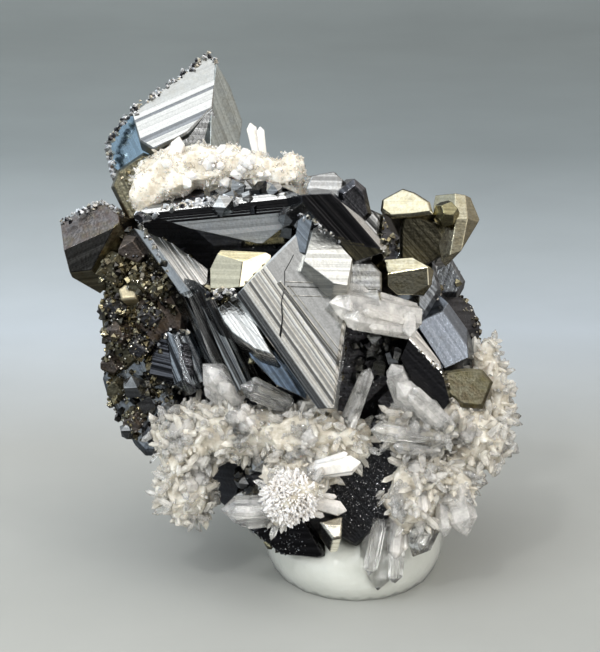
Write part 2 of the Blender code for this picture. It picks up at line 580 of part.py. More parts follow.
QUARTZ_RIGHT += spray((9.4, -8.6, 6.2), 1.7, 8, 0.8, 0.9, 73)

# The back, which the display side hides
AWAY = (0.0, 0.2, -1.0)
PYRITE_BACK = [
    Pyritohedron((7.2, 0.8, -12.6), 4.2, (30, 15, 10)),
    Pyritohedron((5.0, -0.6, -13.4), 3.0, (60, 25, 40)),
    Pyritohedron((8.8, -1.0, -12.0), 2.6, (10, 50, 20)),
]
QUARTZ_BACK = [
    Boulder((-4.0, 1.5, -12.8), (3.2, 2.2, 2.0), 14, seed=75),
    Boulder((-7.2, 0.0, -11.4), (2.4, 2.0, 2.2), 14, seed=76),
    Boulder((-1.2, 3.0, -12.6), (2.2, 1.8, 2.0), 14, seed=77),
]
QUARTZ_BACK += spray((-4.0, 1.5, -13.0), 2.0, 8, 1.0, 1.1, 78, lean=AWAY)
QUARTZ_BACK += spray((-7.2, 0.0, -11.8), 1.9, 5, 0.9, 1.0, 79, lean=AWAY)


def start_over():
    """Empties the scene."""
    for thing in list(bpy.data.objects):
        bpy.data.objects.remove(thing, do_unlink=True)
    for name in (OBJECT, "cutters"):
        collection = bpy.data.collections.new(name)
        bpy.context.scene.collection.children.link(collection)


def make_object(name, collection, solids, grow=0.0):
    """An object of one or more convex solids, which may overlap."""
    shape = bmesh.new()
    for solid in solids:
        solid.add_to(shape, grow)
    bmesh.ops.scale(shape, vec=(MM, MM, MM), verts=shape.verts)
    mesh = bpy.data.meshes.new(name)
    shape.to_mesh(mesh)
    shape.free()
    thing = bpy.data.objects.new(name, mesh)
    bpy.data.collections[collection].objects.link(thing)
    return thing


def make_cutter(name, solids, grow=0.0):
    """A hidden object that shapes another."""
    cutter = make_object(name, "cutters", solids, grow)
    cutter.display_type = "WIRE"
    cutter.hide_render = True
    return cutter


def combine(thing, cutter, operation):
    """Joins a hidden object to a visible one, or cuts it out."""
    modifier = thing.modifiers.new(cutter.name, "BOOLEAN")
    modifier.object = cutter
    modifier.operation = operation
    modifier.solver = "EXACT"
    modifier.use_self = True


def make_group(name, solids, makeup, neighbours=()):
    """One body of crystals grown together, cut clear of its neighbours' crystals."""
    thing = make_object(name, OBJECT, solids[:1])
    if len(solids) > 1:
        combine(thing, make_cutter(name + "_rest", solids[1:]), "UNION")
    if neighbours:
        combine(thing, make_cutter(name + "_cut", neighbours, CLEARANCE), "DIFFERENCE")
    thing.data.materials.append(makeup)
    return thing


def make_material(name, colour, roughness, metallic):
    """A plain surface."""
    material = bpy.data.materials.new(name)
    material.use_nodes = True
    surface = material.node_tree.nodes["Principled BSDF"]
    surface.inputs["Base Color"].default_value = (*colour, 1.0)
    surface.inputs["Roughness"].default_value = roughness
    surface.inputs["Metallic"].default_value = metallic
    return material


def make_lobe(name, collection, lobe):
    """A round lump of putty."""
    middle, radii = lobe
    shape = bmesh.new()
    bmesh.ops.create_uvsphere(shape, u_segments=20, v_segments=9, radius=1.0)
    bmesh.ops.scale(shape, vec=radii, verts=shape.verts)
    bmesh.ops.translate(shape, vec=middle, verts=shape.verts)
    bmesh.ops.scale(shape, vec=(MM, MM, MM), verts=shape.verts)
    mesh = bpy.data.meshes.new(name)
    shape.to_mesh(mesh)
    shape.free()
    mesh.shade_smooth()
    lump = bpy.data.objects.new(name, mesh)
    bpy.data.collections[collection].objects.link(lump)
    return lump


def make_putty(neighbours, makeup):
    """A soft pad with a flat foot, pressed up around the specimen's lower end."""
    putty = make_lobe("mounting_putty", OBJECT, PUTTY_PAD)
    heel = make_lobe("putty_heel", "cutters", PUTTY_HEEL)
    heel.display_type = "WIRE"
    heel.hide_render = True
    combine(putty, heel, "UNION")
    combine(putty, make_cutter("under_putty", [Ground()]), "DIFFERENCE")
    combine(putty, make_cutter("putty_cut", neighbours, CLEARANCE), "DIFFERENCE")
    putty.data.materials.append(makeup)


def main():
    start_over()
    dark_metal = make_material("tetrahedrite", (0.32, 0.34, 0.36), 0.25, 1.0)
    brass = make_material("pyrite", (0.62, 0.52, 0.30), 0.25, 1.0)
    cream = make_material("quartz", (0.80, 0.77, 0.72), 0.25, 0.0)
    white = make_material("putty", (0.85, 0.86, 0.85), 0.30, 0.0)

    pyrites = {
        "pyrite_left": PYRITE_LEFT,
        "pyrite_middle": PYRITE_MIDDLE,
        "pyrite_cluster": PYRITE_CLUSTER,
        "pyrite_inner": PYRITE_INNER,
        "pyrite_right": PYRITE_RIGHT,
        "pyrite_low": PYRITE_LOW,
        "pyrite_speck": PYRITE_SPECK,
        "pyrite_back": PYRITE_BACK,
    }
    quartzes = {
        "quartz_crest": QUARTZ_CREST,
        "quartz_middle": QUARTZ_MIDDLE,
        "quartz_left": QUARTZ_LEFT,
        "quartz_right": QUARTZ_RIGHT,
        "quartz_back": QUARTZ_BACK,
    }
    for name, solids in pyrites.items():
        make_group(name, solids, brass)
    all_pyrite = [solid for solids in pyrites.values() for solid in solids]
    for name, solids in quartzes.items():
        make_group(name, solids, cream, all_pyrite)
    all_quartz = [solid for solids in quartzes.values() for solid in solids]
    make_group("tetrahedrite_group", TETRAHEDRITE, dark_metal, all_pyrite + all_quartz)
    lower = [solid for solid in all_quartz + SMALLER + BACK if solid.middle.z < PUTTY_REACH]
    make_putty(CORE + lower, white)


main()
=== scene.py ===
"""Finishes for the specimen of tetrahedrite with pyrite and quartz.

A corner of a crystal is (right, up) or (right, up, near), in millimetres as it shows from the
display side, counted from the specimen's middle, as in the part's own source. The solids are laid
out in millimetres, and their meshes are in metres.
"""

import math
import random

import bmesh
import bpy
from mathutils import Matrix, Vector
from mathutils import noise as mathnoise


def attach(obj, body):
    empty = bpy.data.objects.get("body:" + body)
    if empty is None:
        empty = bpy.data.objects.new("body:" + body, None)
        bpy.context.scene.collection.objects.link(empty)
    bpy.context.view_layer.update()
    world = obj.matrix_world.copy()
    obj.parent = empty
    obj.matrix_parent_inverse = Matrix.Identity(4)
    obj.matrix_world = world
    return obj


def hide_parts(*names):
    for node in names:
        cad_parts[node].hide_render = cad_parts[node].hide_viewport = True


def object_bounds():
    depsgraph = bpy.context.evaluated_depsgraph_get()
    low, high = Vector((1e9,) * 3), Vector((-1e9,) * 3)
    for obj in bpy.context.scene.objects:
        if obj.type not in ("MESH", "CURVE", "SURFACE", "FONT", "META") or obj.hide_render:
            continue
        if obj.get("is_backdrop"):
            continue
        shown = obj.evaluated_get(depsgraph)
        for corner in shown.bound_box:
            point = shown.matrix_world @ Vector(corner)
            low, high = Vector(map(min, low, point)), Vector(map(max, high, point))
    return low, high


MM = 0.001
# The display side is seen from here, with this many millimetres of the specimen to a pixel.
EYE_DISTANCE = 175.0
EYE_RISE = math.radians(17.0)
PIXEL = 0.08
PICTURE_HEIGHT = 652
SENSOR = 36.0
# The specimen's middle, from the middle of the surface that it stands on
MIDDLE = Vector((0.9, -1.1, 19.8))

RIGHT = Vector((1.0, 0.0, 0.0))
UP = Vector((0.0, math.sin(EYE_RISE), math.cos(EYE_RISE)))
NEAR = Vector((0.0, -math.cos(EYE_RISE), math.sin(EYE_RISE)))
EYE = MIDDLE + NEAR * EYE_DISTANCE


def seen(right, up, near=0.0):
    """The point that shows at right and up, and lies near in front of the middle."""
    shrink = 1.0 - near / EYE_DISTANCE
    return MIDDLE + (RIGHT * right + UP * up) * shrink + NEAR * near


def facing(turn, tilt):
    """The direction turn degrees to the right of the viewer and tilt degrees up."""
    turn, tilt = math.radians(turn), math.radians(tilt)
    level = RIGHT * math.sin(turn) + NEAR * math.cos(turn)
    return level * math.cos(tilt) + UP * math.sin(tilt)


def cleave(mesh, point, outward):
    """Cuts away what lies outside a plane, and closes the cut."""
    bmesh.ops.bisect_plane(
        mesh,
        geom=mesh.verts[:] + mesh.edges[:] + mesh.faces[:],
        dist=1e-4,
        plane_co=point,
        plane_no=outward,
        clear_outer=True,
    )
    rim = [edge for edge in mesh.edges if edge.is_boundary]
    if rim:
        bmesh.ops.holes_fill(mesh, edges=rim, sides=0)


class Finish:
    """How a face looks: its colour, which on some faces is partly painted highlight or shade, and a way
    (start, end) that its fine lines follow.

    groove is how deep the lines are and how strongly painted light and dark stripes show along them, rough
    how dull it is, pitted how coarse and stain how tarnished.
    """

    def __init__(self, colour, grain=((0.0, 0.0), (1.0, 0.4)), groove_and_painted_stripes=0.3, rough=0.16, pitted=0.1,
                 stain=0.1):
        self.colour = (*colour, 1.0)
        self.grain = grain
        self.numbers = (groove_and_painted_stripes, rough, pitted, stain)


class Solid:
    """A convex solid: a middle, a reach past all corners, and faces as (point, outward)."""

    # A finish for all faces, and others for some of them by number
    finish = None
    others = {}
    # How wide its worn edges are
    edge = 0.045
    # Corners this near to each other are one, or this near in shares of the worn edge.
    NEAREST = 0.002
    NEAREST_SHARE = 0.7
    # A face that faces the viewer less than this takes its lines from the view alone.
    LEAST_FACING = 0.2
    # Lines that run less than this across the outward direction take another way.
    LEAST_ACROSS = 0.2
    OTHER_WAY = UP + RIGHT * 0.3

    def dressed(self, finish, others=None):
        """The same solid with finishes."""
        self.finish = finish
        self.others = others or {}
        return self

    def lay(self, corner, on):
        """Where the line of sight through a corner meets one of the faces."""
        point, outward = self.faces[on]
        sight = seen(*corner) - EYE
        return EYE + sight * ((point - EYE).dot(outward) / sight.dot(outward))

    def across(self, on, outward):
        """The direction across the fine lines of a face."""
        start, end = self.others.get(on, self.finish).grain
        along = (seen(*end) - seen(*start)).normalized()
        if outward.dot(NEAR) > self.LEAST_FACING:
            along = (self.lay(end, on) - self.lay(start, on)).normalized()
        across = outward.cross(along)
        if across.length < self.LEAST_ACROSS:
            across = outward.cross(self.OTHER_WAY)
        return across.normalized()

    def cut(self):
        """The solid as a mesh with worn edges, whose faces know their numbers."""
        block = bmesh.new()
        bmesh.ops.create_cube(block, size=2.0 * self.reach)
        bmesh.ops.translate(block, verts=block.verts, vec=self.middle)
        for point, outward in self.faces:
            cleave(block, point, outward)
        nearest = max(self.NEAREST, self.edge * self.NEAREST_SHARE)
        bmesh.ops.remove_doubles(block, verts=block.verts, dist=nearest)
        bmesh.ops.recalc_face_normals(block, faces=block.faces)
        number = block.faces.layers.int.new("number")
        for face in block.faces:
            fits = [face.normal.dot(outward) for _, outward in self.faces]
            face[number] = fits.index(max(fits))
        if self.edge:
            bmesh.ops.bevel(block, geom=block.edges[:], offset=self.edge, segments=1,
                            profile=0.5, affect="EDGES", clamp_overlap=False)
        return block

    def add_to(self, mesh):
        """Adds the solid to a mesh that has the layers of a piece."""
        block = self.cut()
        number = block.faces.layers.int["number"]
        tint = mesh.faces.layers.float_color["tint"]
        grain = mesh.faces.layers.float_vector["grain"]
        surface = mesh.faces.layers.float_color["surface"]
        corners = {vertex: mesh.verts.new(vertex.co * MM) for vertex in block.verts}
        for face in block.faces:
            copy = mesh.faces.new([corners[vertex] for vertex in face.verts])
            finish = self.others.get(face[number], self.finish)
            copy[tint] = finish.colour
            copy[surface] = finish.numbers
            copy[grain] = self.across(face[number], self.faces[face[number]][1])
        block.free()


class Crystal(Solid):
    """A crystal with a front face through middle, and bends (on, start, end, fold).

    A bend is the face to the left of the way from start to end, folded back by fold degrees
    from face number on. Face 0 is the front.
    """

    reach = 20.0
    # How deep a plate reaches into the face that it stands on, and how wide its worn edges are
    PLATE_ROOT = 0.25
    PLATE_EDGE = 0.02
    # How far a ridge stays inside the outline, and how steep its sides are, in degrees
    RIDGE_INSET = 0.05
    RIDGE_FOLD = 70.0
    # How far each step stays inside the one under it, and how steep its rise is
    STEP_INSET = 0.012
    STEP_FOLD = 62.0
    # The least and the most that a step is wide and high, in shares of an even one
    STEP_WIDTHS = (0.4, 1.6)
    STEP_HEIGHTS = (0.5, 1.5)

    def __init__(self, middle, turn, tilt, thick, bends):
        self.middle = seen(*middle)
        front = facing(turn, tilt)
        self.faces = [(self.middle, front)]
        for on, start, end, fold in bends:
            self.fold_back(on, start, end, fold)
        self.faces.append((self.middle - front * thick, -front))

    def fold_back(self, on, start, end, fold):
        """Adds the face to the left of the way from start to end."""
        start, end = self.lay(start, on), self.lay(end, on)
        outward = self.faces[on][1]
        aside = outward.cross((end - start).normalized())
        fold = math.radians(fold)
        self.faces.append((start, outward * math.cos(fold) + aside * math.sin(fold)))

    def plate(self, on, height, inset):
        """A thin copy of the crystal that stands height proud of one of its faces."""
        point, outward = self.faces[on]
        plate = Crystal.__new__(Crystal)
        plate.middle = self.middle
        plate.faces = [(place - way * inset, way) for place, way in self.faces]
        plate.faces[on] = (point + outward * height, outward)
        plate.faces.append((point - outward * self.PLATE_ROOT, -outward))
        plate.edge = self.PLATE_EDGE
        return plate

    def ridge(self, start, end, width, height, finish, on=0):
        """A thin straight ridge or crease, along the right of the way from start to end on a face."""
        length = math.dist(start, end)
        right = ((end[1] - start[1]) / length * width, (start[0] - end[0]) / length * width)
        first = (start[0] + right[0], start[1] + right[1])
        last = (end[0] + right[0], end[1] + right[1])
        plate = self.plate(on, height, self.RIDGE_INSET)
        for one, two in ((start, end), (end, last), (last, first), (first, start)):
            plate.fold_back(on, one, two, self.RIDGE_FOLD)
        plate.edge = 0.0
        return plate.dressed(finish)

    def terraces(self, start, end, count, span, rise, seed, on=0, stripes=()):
        """Growth steps on a face: thin plates that climb to the right of the way from start to end.

        Together they are about span wide, and each is about rise high. All of them but the last
        take the stripes for their finishes, in turn; the stripes are painted light and dark.
        """
        chance = random.Random(seed)
        length = math.dist(start, end)
        right = ((end[1] - start[1]) / length, (start[0] - end[0]) / length)
        plates = []
        shift = 0.0
        height = 0.0
        for k in range(count):
            shift += span / count * chance.uniform(*self.STEP_WIDTHS)
            height += rise * chance.uniform(*self.STEP_HEIGHTS)
            plate = self.plate(on, height, self.STEP_INSET * (k + 1))
            moved = [tuple(c + r * shift for c, r in zip(corner, right)) for corner in (start, end)]
            plate.fold_back(on, moved[0], moved[1], self.STEP_FOLD)
            plate.dressed(self.finish, dict(self.others))
            if stripes and k < count - 1:
                plate.others[on] = stripes[k % len(stripes)]
            plates.append(plate)
        return plates


def around(corners, folds, rim=0.4, wall=92.0):
    """Bends off the front along an outline, walked clockwise, and the walls rim outside it."""
    if not isinstance(folds, list):
        folds = [folds] * len(corners)
    slants = []
    walls = []
    for start, end, fold in zip(corners, corners[1:] + corners[:1], folds):
        slants.append((0, start, end, fold))
        length = math.dist(start, end)
        out = ((start[1] - end[1]) / length * rim, (end[0] - start[0]) / length * rim)
        start, end = ((corner[0] + out[0], corner[1] + out[1]) for corner in (start, end))
        walls.append((0, start, end, wall))
    return slants + walls


class Prism(Solid):
    """A quartz prism: six sides, and a six-sided point that is point times as long as it is wide."""

    edge = 0.03
    # How a young prism grows, least and most: its root and its tip aside, in widths of the old one,
    # its tip back, in lengths, and its width, in shares of what it is asked for
    ROOT_ASIDE = (0.3, 0.7)
    TIP_ASIDE = (0.2, 0.9)
    TIP_BACK = (0.1, 0.4)
    WIDTHS = (0.7, 1.2)
    ALL_ROUND = (0.0, 6.28)

    def __init__(self, root, tip, width, point=0.62, twist=0.3):
        self.grow(seen(*root), seen(*tip), width, point, twist)

    def grow(self, root, tip, width, point, twist):
        """Lays the faces of a prism between two places."""
        along = (tip - root).normalized()
        side = along.orthogonal().normalized()
        self.ends = (root, tip, width, point, twist)
        self.middle = (root + tip) / 2.0
        self.reach = (tip - root).length + width
        self.faces = [(root, -along)]
        shoulder = tip - along * width * point
        for k in range(6):
            outward = Matrix.Rotation(twist + math.pi * k / 3.0, 3, along) @ side
            rim = shoulder + outward * width / 2.0
            slant = along.cross(outward).cross(tip - rim).normalized()
            if slant.dot(outward) < 0.0:
                slant.negate()
            self.faces.append((rim, outward))
            self.faces.append((tip, slant))

    def across(self, on, outward):
        """Quartz has its lines across the prism."""
        root, tip = self.ends[:2]
        return (tip - root).normalized()

    def beside(self, chance, thin):
        """A thinner prism that grew along this one."""
        root, tip, width, point, twist = self.ends
        along = (tip - root).normalized()
        aside = along.orthogonal().normalized()
        aside = Matrix.Rotation(chance.uniform(*self.ALL_ROUND), 3, along) @ aside
        root = root + aside * width * chance.uniform(*self.ROOT_ASIDE)
        back = along * (tip - root).length * chance.uniform(*self.TIP_BACK)
        tip = tip - back + aside * width * chance.uniform(*self.TIP_ASIDE)
        young = Prism.__new__(Prism)
        young.grow(root, tip, width * thin * chance.uniform(*self.WIDTHS), point, chance.random())
        return young.dressed(self.finish)


def turning(angles):
    """A rotation by three angles in degrees, about the directions right, up and near."""
    turned = Matrix.Identity(3)
    for angle, axis in zip(angles, (RIGHT, UP, NEAR)):
        turned = turned @ Matrix.Rotation(math.radians(angle), 3, axis)
    return turned


class Pyritohedron(Solid):
    """A twelve-faced pyrite crystal, turned by angles in degrees."""

    def __init__(self, middle, size, angles):
        self.middle = seen(*middle)
        self.reach = size
        turned = turning(angles)
        self.faces = []
        for one in (-1.0, 1.0):
            for two in (-2.0, 2.0):
                for way in ((0.0, one, two), (two, 0.0, one), (one, two, 0.0)):
                    outward = (turned @ Vector(way)).normalized()
                    self.faces.append((self.middle + outward * size / 2.0, outward))


class Tetrahedron(Solid):
    """A tetrahedrite crystal with blunt corners and edges, turned by angles in degrees."""

    # How far the faces, the blunt corners and the blunt edges lie from the middle of one of size 1
    FACES = 0.42
    CORNERS = 0.86
    EDGES = 0.62

    def __init__(self, middle, size, angles):
        self.middle = seen(*middle)
        self.reach = size
        turned = turning(angles)
        self.faces = []
        for way in ((1, 1, 1), (1, -1, -1), (-1, 1, -1), (-1, -1, 1)):
            outward = (turned @ Vector(way)).normalized()
            self.faces.append((self.middle + outward * size * self.FACES, outward))
            self.faces.append((self.middle - outward * size * self.CORNERS, -outward))
        for way in ((1, 0, 0), (-1, 0, 0), (0, 1, 0), (0, -1, 0), (0, 0, 1), (0, 0, -1)):
            outward = turned @ Vector(way)
            self.faces.append((self.middle + outward * size * self.EDGES, outward))


class Boulder(Solid):
    """A rough lump: cuts planes, spread over an ellipsoid of radii (right, up, near)."""

    # How far its corners reach in radii, how far a plane lies inside the ellipsoid at most, and how
    # far it strays round it, in radians
    CORNERS = 1.6
    RAGGED = 0.14
    STRAY = 0.3
    GOLDEN_TURN = math.pi * (3.0 - math.sqrt(5.0))

    def __init__(self, middle, radii, cuts, seed):
        chance = random.Random(seed)
        self.middle = seen(*middle)
        self.reach = self.CORNERS * max(radii)
        self.faces = []
        for k in range(cuts):
            up = 1.0 - 2.0 * (k + 0.5) / cuts
            turn = self.GOLDEN_TURN * k + chance.uniform(-self.STRAY, self.STRAY)
            ring = math.sqrt(1.0 - up * up)
            out = 1.0 - self.RAGGED * chance.random()
            way = (ring * math.cos(turn), up, ring * math.sin(turn))
            span = [out * along * radius for along, radius in zip(way, radii)]
            slope = [along / radius for along, radius in zip(way, radii)]
            self.faces.append((self.middle + in_view(span), in_view(slope).normalized()))


def in_view(parts):
    """A direction from its parts to the right, up and near."""
    return RIGHT * parts[0] + UP * parts[1] + NEAR * parts[2]


# A prism of a spray starts at this share of the spray's radius. Its way strays this far from where
# the spray leans, and its length and width are these shares of what is asked for, least and most.
SPRAY_ROOT = 0.3
SPRAY_STRAY = 1.0
SPRAY_LENGTHS = (0.75, 1.25)
SPRAY_WIDTHS = (0.7, 1.3)


def spray(middle, radius, count, length, width, seed, lean=(0.0, 0.2, 1.0)):
    """Small prisms that radiate from a middle, more of them the way that lean points."""
    chance = random.Random(seed)
    prisms = []
    for _ in range(count):
        way = Vector(lean).normalized() + Vector(chance.gauss(0.0, SPRAY_STRAY) for _ in range(3))
        way.normalize()
        out = length * chance.uniform(*SPRAY_LENGTHS)
        root = [place + along * radius * SPRAY_ROOT for place, along in zip(middle, way)]
        tip = [place + along * (radius + out) for place, along in zip(middle, way)]
        wide = width * chance.uniform(*SPRAY_WIDTHS)
        prisms.append(Prism(root, tip, wide, twist=chance.random()))
    return prisms


# The dark lumps that the crystals of the group stand on
CORE = [
    Boulder((1.0, -1.0, -4.0), (11.0, 11.5, 8.0), 20, seed=3),
    Boulder((-9.6, 0.0, -2.0), (5.2, 7.5, 4.6), 14, seed=5),
    Boulder((2.0, -12.0, -1.0), (8.8, 5.6, 6.0), 14, seed=8),
    Boulder((8.6, -2.4, -4.6), (4.8, 7.6, 7.0), 14, seed=11),
    Boulder((-4.5, 8.0, -1.0), (8.0, 4.0, 5.0), 14, seed=12),
]

# The large crystals of the display side
ROOF = Crystal((-5.0, 8.2, 6.5), 3, -8, 7.0, [
    (0, (-12.0, 8.6), (0.2, 9.7), 12),
    (1, (-12.8, 9.0), (0.2, 10.4), 32),
    (2, (-12.8, 9.3), (0.2, 10.9), 45),
    (0, (0.2, 9.7), (-0.1, 8.8), 85),
    (0, (-0.1, 8.8), (-3.0, 6.6), 95),
    (0, (-3.0, 6.6), (-5.2, 6.6), 95),
    (0, (-5.2, 6.6), (-8.8, 7.8), 100),
    (0, (-8.8, 7.8), (-12.8, 8.7), 95),
    (0, (-13.0, 8.5), (-12.7, 9.2), 90),
])

WALL = Crystal((-8.8, 4.9, 5.0), 20, 24, 5.0, [
    (0, (-12.9, 8.6), (-10.2, 6.6), 80),
    (0, (-10.2, 6.6), (-7.2, 5.2), 80),
    (0, (-7.2, 5.2), (-7.4, 3.3), 70),
    (0, (-7.4, 3.3), (-8.5, 2.4), 70),
    (0, (-8.5, 2.4), (-12.9, 8.4), 48),
    (5, (-9.1, 1.9), (-13.4, 8.0), 45),
    (0, (-13.3, 8.2), (-12.8, 8.7), 85),
])

KITE = Crystal((0.0, 0.5, 10.0), 8, 12, 9.0, [
    (0, (-4.6, 3.0), (-1.2, 6.9), 80),
    (0, (-1.2, 6.9), (0.2, 8.2), 80),
    (0, (0.2, 8.2), (4.0, 3.0), 80),
    (0, (4.0, 3.0), (3.7, 0.1), 80),
    (0, (3.7, 0.1), (2.7, -6.6), 48),
    (5, (4.2, -0.3), (3.1, -6.6), 55),
    (0, (2.7, -6.6), (2.1, -6.6), 90),
    (0, (2.1, -6.6), (-4.6, 3.0), 16),
    (8, (1.5, -6.7), (-5.2, 2.6), 75),
    (8, (-5.2, 2.6), (-4.6, 3.2), 85),
])

# The bright ledge to the left of the kite, and the face under it, tinted blue as a painted reflection
LEDGE = Crystal((-5.0, 0.6, 9.2), -14, 27, 5.0, around(
    [(-6.6, 1.5), (-5.0, 2.4), (-4.4, 1.7), (-2.3, -2.2), (-3.6, -1.8), (-5.4, -0.5), (-6.1, 0.4)],
    70, rim=0.15))
BLUE = Crystal((-2.4, -3.4, 9.0), -22, -6, 5.0, around(
    [(-4.4, -1.5), (-2.3, -2.1), (-1.2, -3.5), (0.3, -5.9), (-0.6, -6.1), (-1.9, -4.7), (-3.2, -4.1)],
    65, rim=0.15))

PLATES = Crystal((2.4, 5.1, 10.9), 4, 28, 5.0, [
    (0, (0.5, 6.1), (3.1, 6.6), 12),
    (1, (0.6, 6.2), (1.2, 8.3), 80),
    (1, (1.2, 8.3), (3.3, 6.6), 80),
    (0, (3.1, 6.6), (4.2, 5.4), 85),
    (0, (4.2, 5.4), (3.8, 3.2), 85),
    (0, (3.8, 3.2), (2.7, 3.4), 90),
    (0, (2.7, 3.4), (0.3, 5.2), 90),
    (0, (0.3, 5.2), (0.5, 6.1), 85),
])

BLADE = Crystal((3.0, 8.1, 10.3), 4, 3, 5.0, [
    (0, (0.0, 10.5), (2.5, 10.6), 75),
    (0, (2.5, 10.6), (3.1, 10.1), 75),
    (0, (3.1, 10.1), (6.7, 5.9), 50),
    (3, (3.6, 10.3), (7.1, 6.2), 60),
    (0, (6.7, 5.9), (4.5, 5.3), 80),
    (0, (5.8, 6.3), (3.0, 6.7), 22),
    (0, (4.3, 5.2), (1.9, 7.9), 80),
    (0, (1.9, 7.9), (0.2, 9.6), 80),
    (0, (0.2, 9.6), (0.0, 10.5), 80),
])

FANG = Crystal((10.0, -3.9, 6.0), 0, -5, 6.0, [
    (0, (8.7, -1.0), (11.4, -3.8), 45),
    (1, (9.4, -0.4), (11.7, -3.5), 60),
    (0, (11.4, -3.8), (12.0, -6.1), 80),
    (0, (12.0, -6.1), (11.3, -6.9), 80),
    (0, (11.3, -6.9), (9.0, -4.5), 80),
    (0, (9.0, -4.5), (8.0, -2.6), 80),
    (0, (8.0, -2.6), (8.7, -1.0), 80),
])

DOME = Crystal((12.0, -0.5, 3.5), 12, 8, 7.0, [
    (0, (11.6, 1.0), (13.4, -1.6), 28),
    (1, (12.2, 1.4), (14.0, -1.1), 55),
    (0, (9.8, 0.4), (11.8, 1.4), 50),
    (0, (13.4, -1.6), (13.5, -2.6), 60),
    (0, (14.0, -2.3), (11.6, -3.4), 80),
    (0, (11.6, -3.4), (9.4, 0.0), 80),
])

# The smaller crystals, whose finishes are in the same order
SMALLER = [
    # Grey crystals behind the blade, and beside it
    Crystal((2.0, 11.4, 7.0), 10, 25, 6.0, around(
        [(0.6, 11.1), (1.0, 12.0), (2.7, 12.3), (3.4, 11.7), (3.2, 10.0), (0.4, 10.0)], 60)),
    Crystal((4.5, 10.0, 8.6), 5, -6, 6.0, around(
        [(3.5, 10.6), (4.4, 11.3), (5.0, 10.8), (5.4, 9.0), (4.4, 8.0), (3.4, 9.4)], 55)),
    Crystal((6.5, 8.0, 7.0), 12, 14, 6.0, around(
        [(4.9, 10.5), (6.6, 10.6), (6.4, 8.8), (8.2, 8.0), (8.2, 6.4), (7.0, 5.4), (4.6, 8.0)], 50)),
    # The small dark peaks under the roof
    Crystal((-2.8, 7.6, 5.6), -5, -20, 5.0, around(
        [(-4.4, 6.8), (-3.3, 7.9), (-1.6, 8.4), (-1.2, 6.6), (-4.4, 6.4)], 60)),
    Crystal((0.4, 6.6, 9.2), -25, 5, 4.0, around(
        [(-0.2, 8.4), (0.6, 9.0), (1.0, 8.4), (0.4, 5.8), (-0.5, 6.0)], 60)),
    # The grey mass between the pyrite cluster and the dome
    Crystal((11.0, 3.8, 3.2), 10, 12, 7.0, around(
        [(9.6, 3.6), (11.2, 5.6), (12.8, 5.8), (12.0, 4.5), (11.1, 2.6), (11.6, 0.4), (9.4, -0.6)], 50)),
    # The rough black face at the foot, and the black underside
    Crystal((5.4, -13.0, 5.5), -6, -12, 8.0, around(
        [(3.0, -11.8), (4.6, -9.4), (6.8, -9.0), (7.8, -10.4), (7.9, -12.5), (7.3, -14.8),
         (4.4, -17.4), (3.0, -16.6)], 60)),
    Crystal((-2.0, -17.2, 4.2), 0, -22, 7.0, around(
        [(-5.4, -17.3), (-2.0, -15.6), (0.3, -15.6), (1.8, -18.4), (-0.5, -18.9), (-1.4, -18.2),
         (-5.2, -17.8)], 50, rim=0.2)),
    # The slate mass at the left edge, the hillock over it, and the tarnished blocks
    Crystal((-13.4, -5.6, 2.0), -24, 2, 6.0, around(
        [(-15.0, -2.0), (-11.6, -1.8), (-10.6, -6.0), (-11.2, -10.0), (-12.4, -10.0), (-13.1, -9.3),
         (-14.2, -7.3), (-15.3, -5.3), (-15.6, -4.2)], 45)),
    Crystal((-10.6, -2.6, 4.6), -26, 2, 5.0, around(
        [(-11.7, -1.4), (-10.4, -0.6), (-9.4, -1.6), (-9.0, -4.6), (-12.2, -4.0)], 50)),
    Crystal((-9.0, -2.4, 5.0), 16, 8, 5.0, around(
        [(-10.2, -0.7), (-8.9, -0.6), (-8.0, -2.5), (-7.7, -4.4), (-8.6, -5.0), (-9.6, -4.4)], 45)),
    Crystal((-13.4, 2.0, 3.0), -20, 10, 6.0, around(
        [(-15.2, 3.6), (-13.6, 5.2), (-11.6, 4.6), (-11.2, 1.6), (-12.6, -0.4), (-15.2, -0.2),
         (-15.6, 1.6)], 40)),
    Crystal((-11.0, 0.8, 4.0), 6, -4, 6.0, around(
        [(-12.4, 2.6), (-10.6, 4.2), (-9.4, 2.2), (-9.6, -0.6), (-11.8, -1.6), (-12.8, 0.2)], 45)),
    Crystal((-13.8, -1.2, 2.6), -14, -14, 6.0, around(
        [(-15.6, 0.6), (-13.0, 1.0), (-12.0, -1.4), (-14.0, -3.4), (-15.2, -2.4)], 40)),
    # Long dark crystals side by side, between the wall and the kite
    Crystal((-7.0, -1.0, 6.6), -34, -4, 5.0, around(
        [(-8.4, 2.8), (-7.8, 3.2), (-4.2, -4.8), (-5.0, -5.4)], 70, rim=0.2)),
    Crystal((-6.2, -0.6, 7.4), 24, -10, 5.0, around(
        [(-7.8, 3.1), (-7.0, 2.6), (-3.4, -4.4), (-4.2, -5.0)], 70, rim=0.2)),
    Crystal((-7.9, -1.6, 5.6), 14, -8, 5.0, around(
        [(-9.2, 2.4), (-8.3, 2.8), (-5.0, -5.0), (-6.4, -5.4)], 70, rim=0.2)),
]
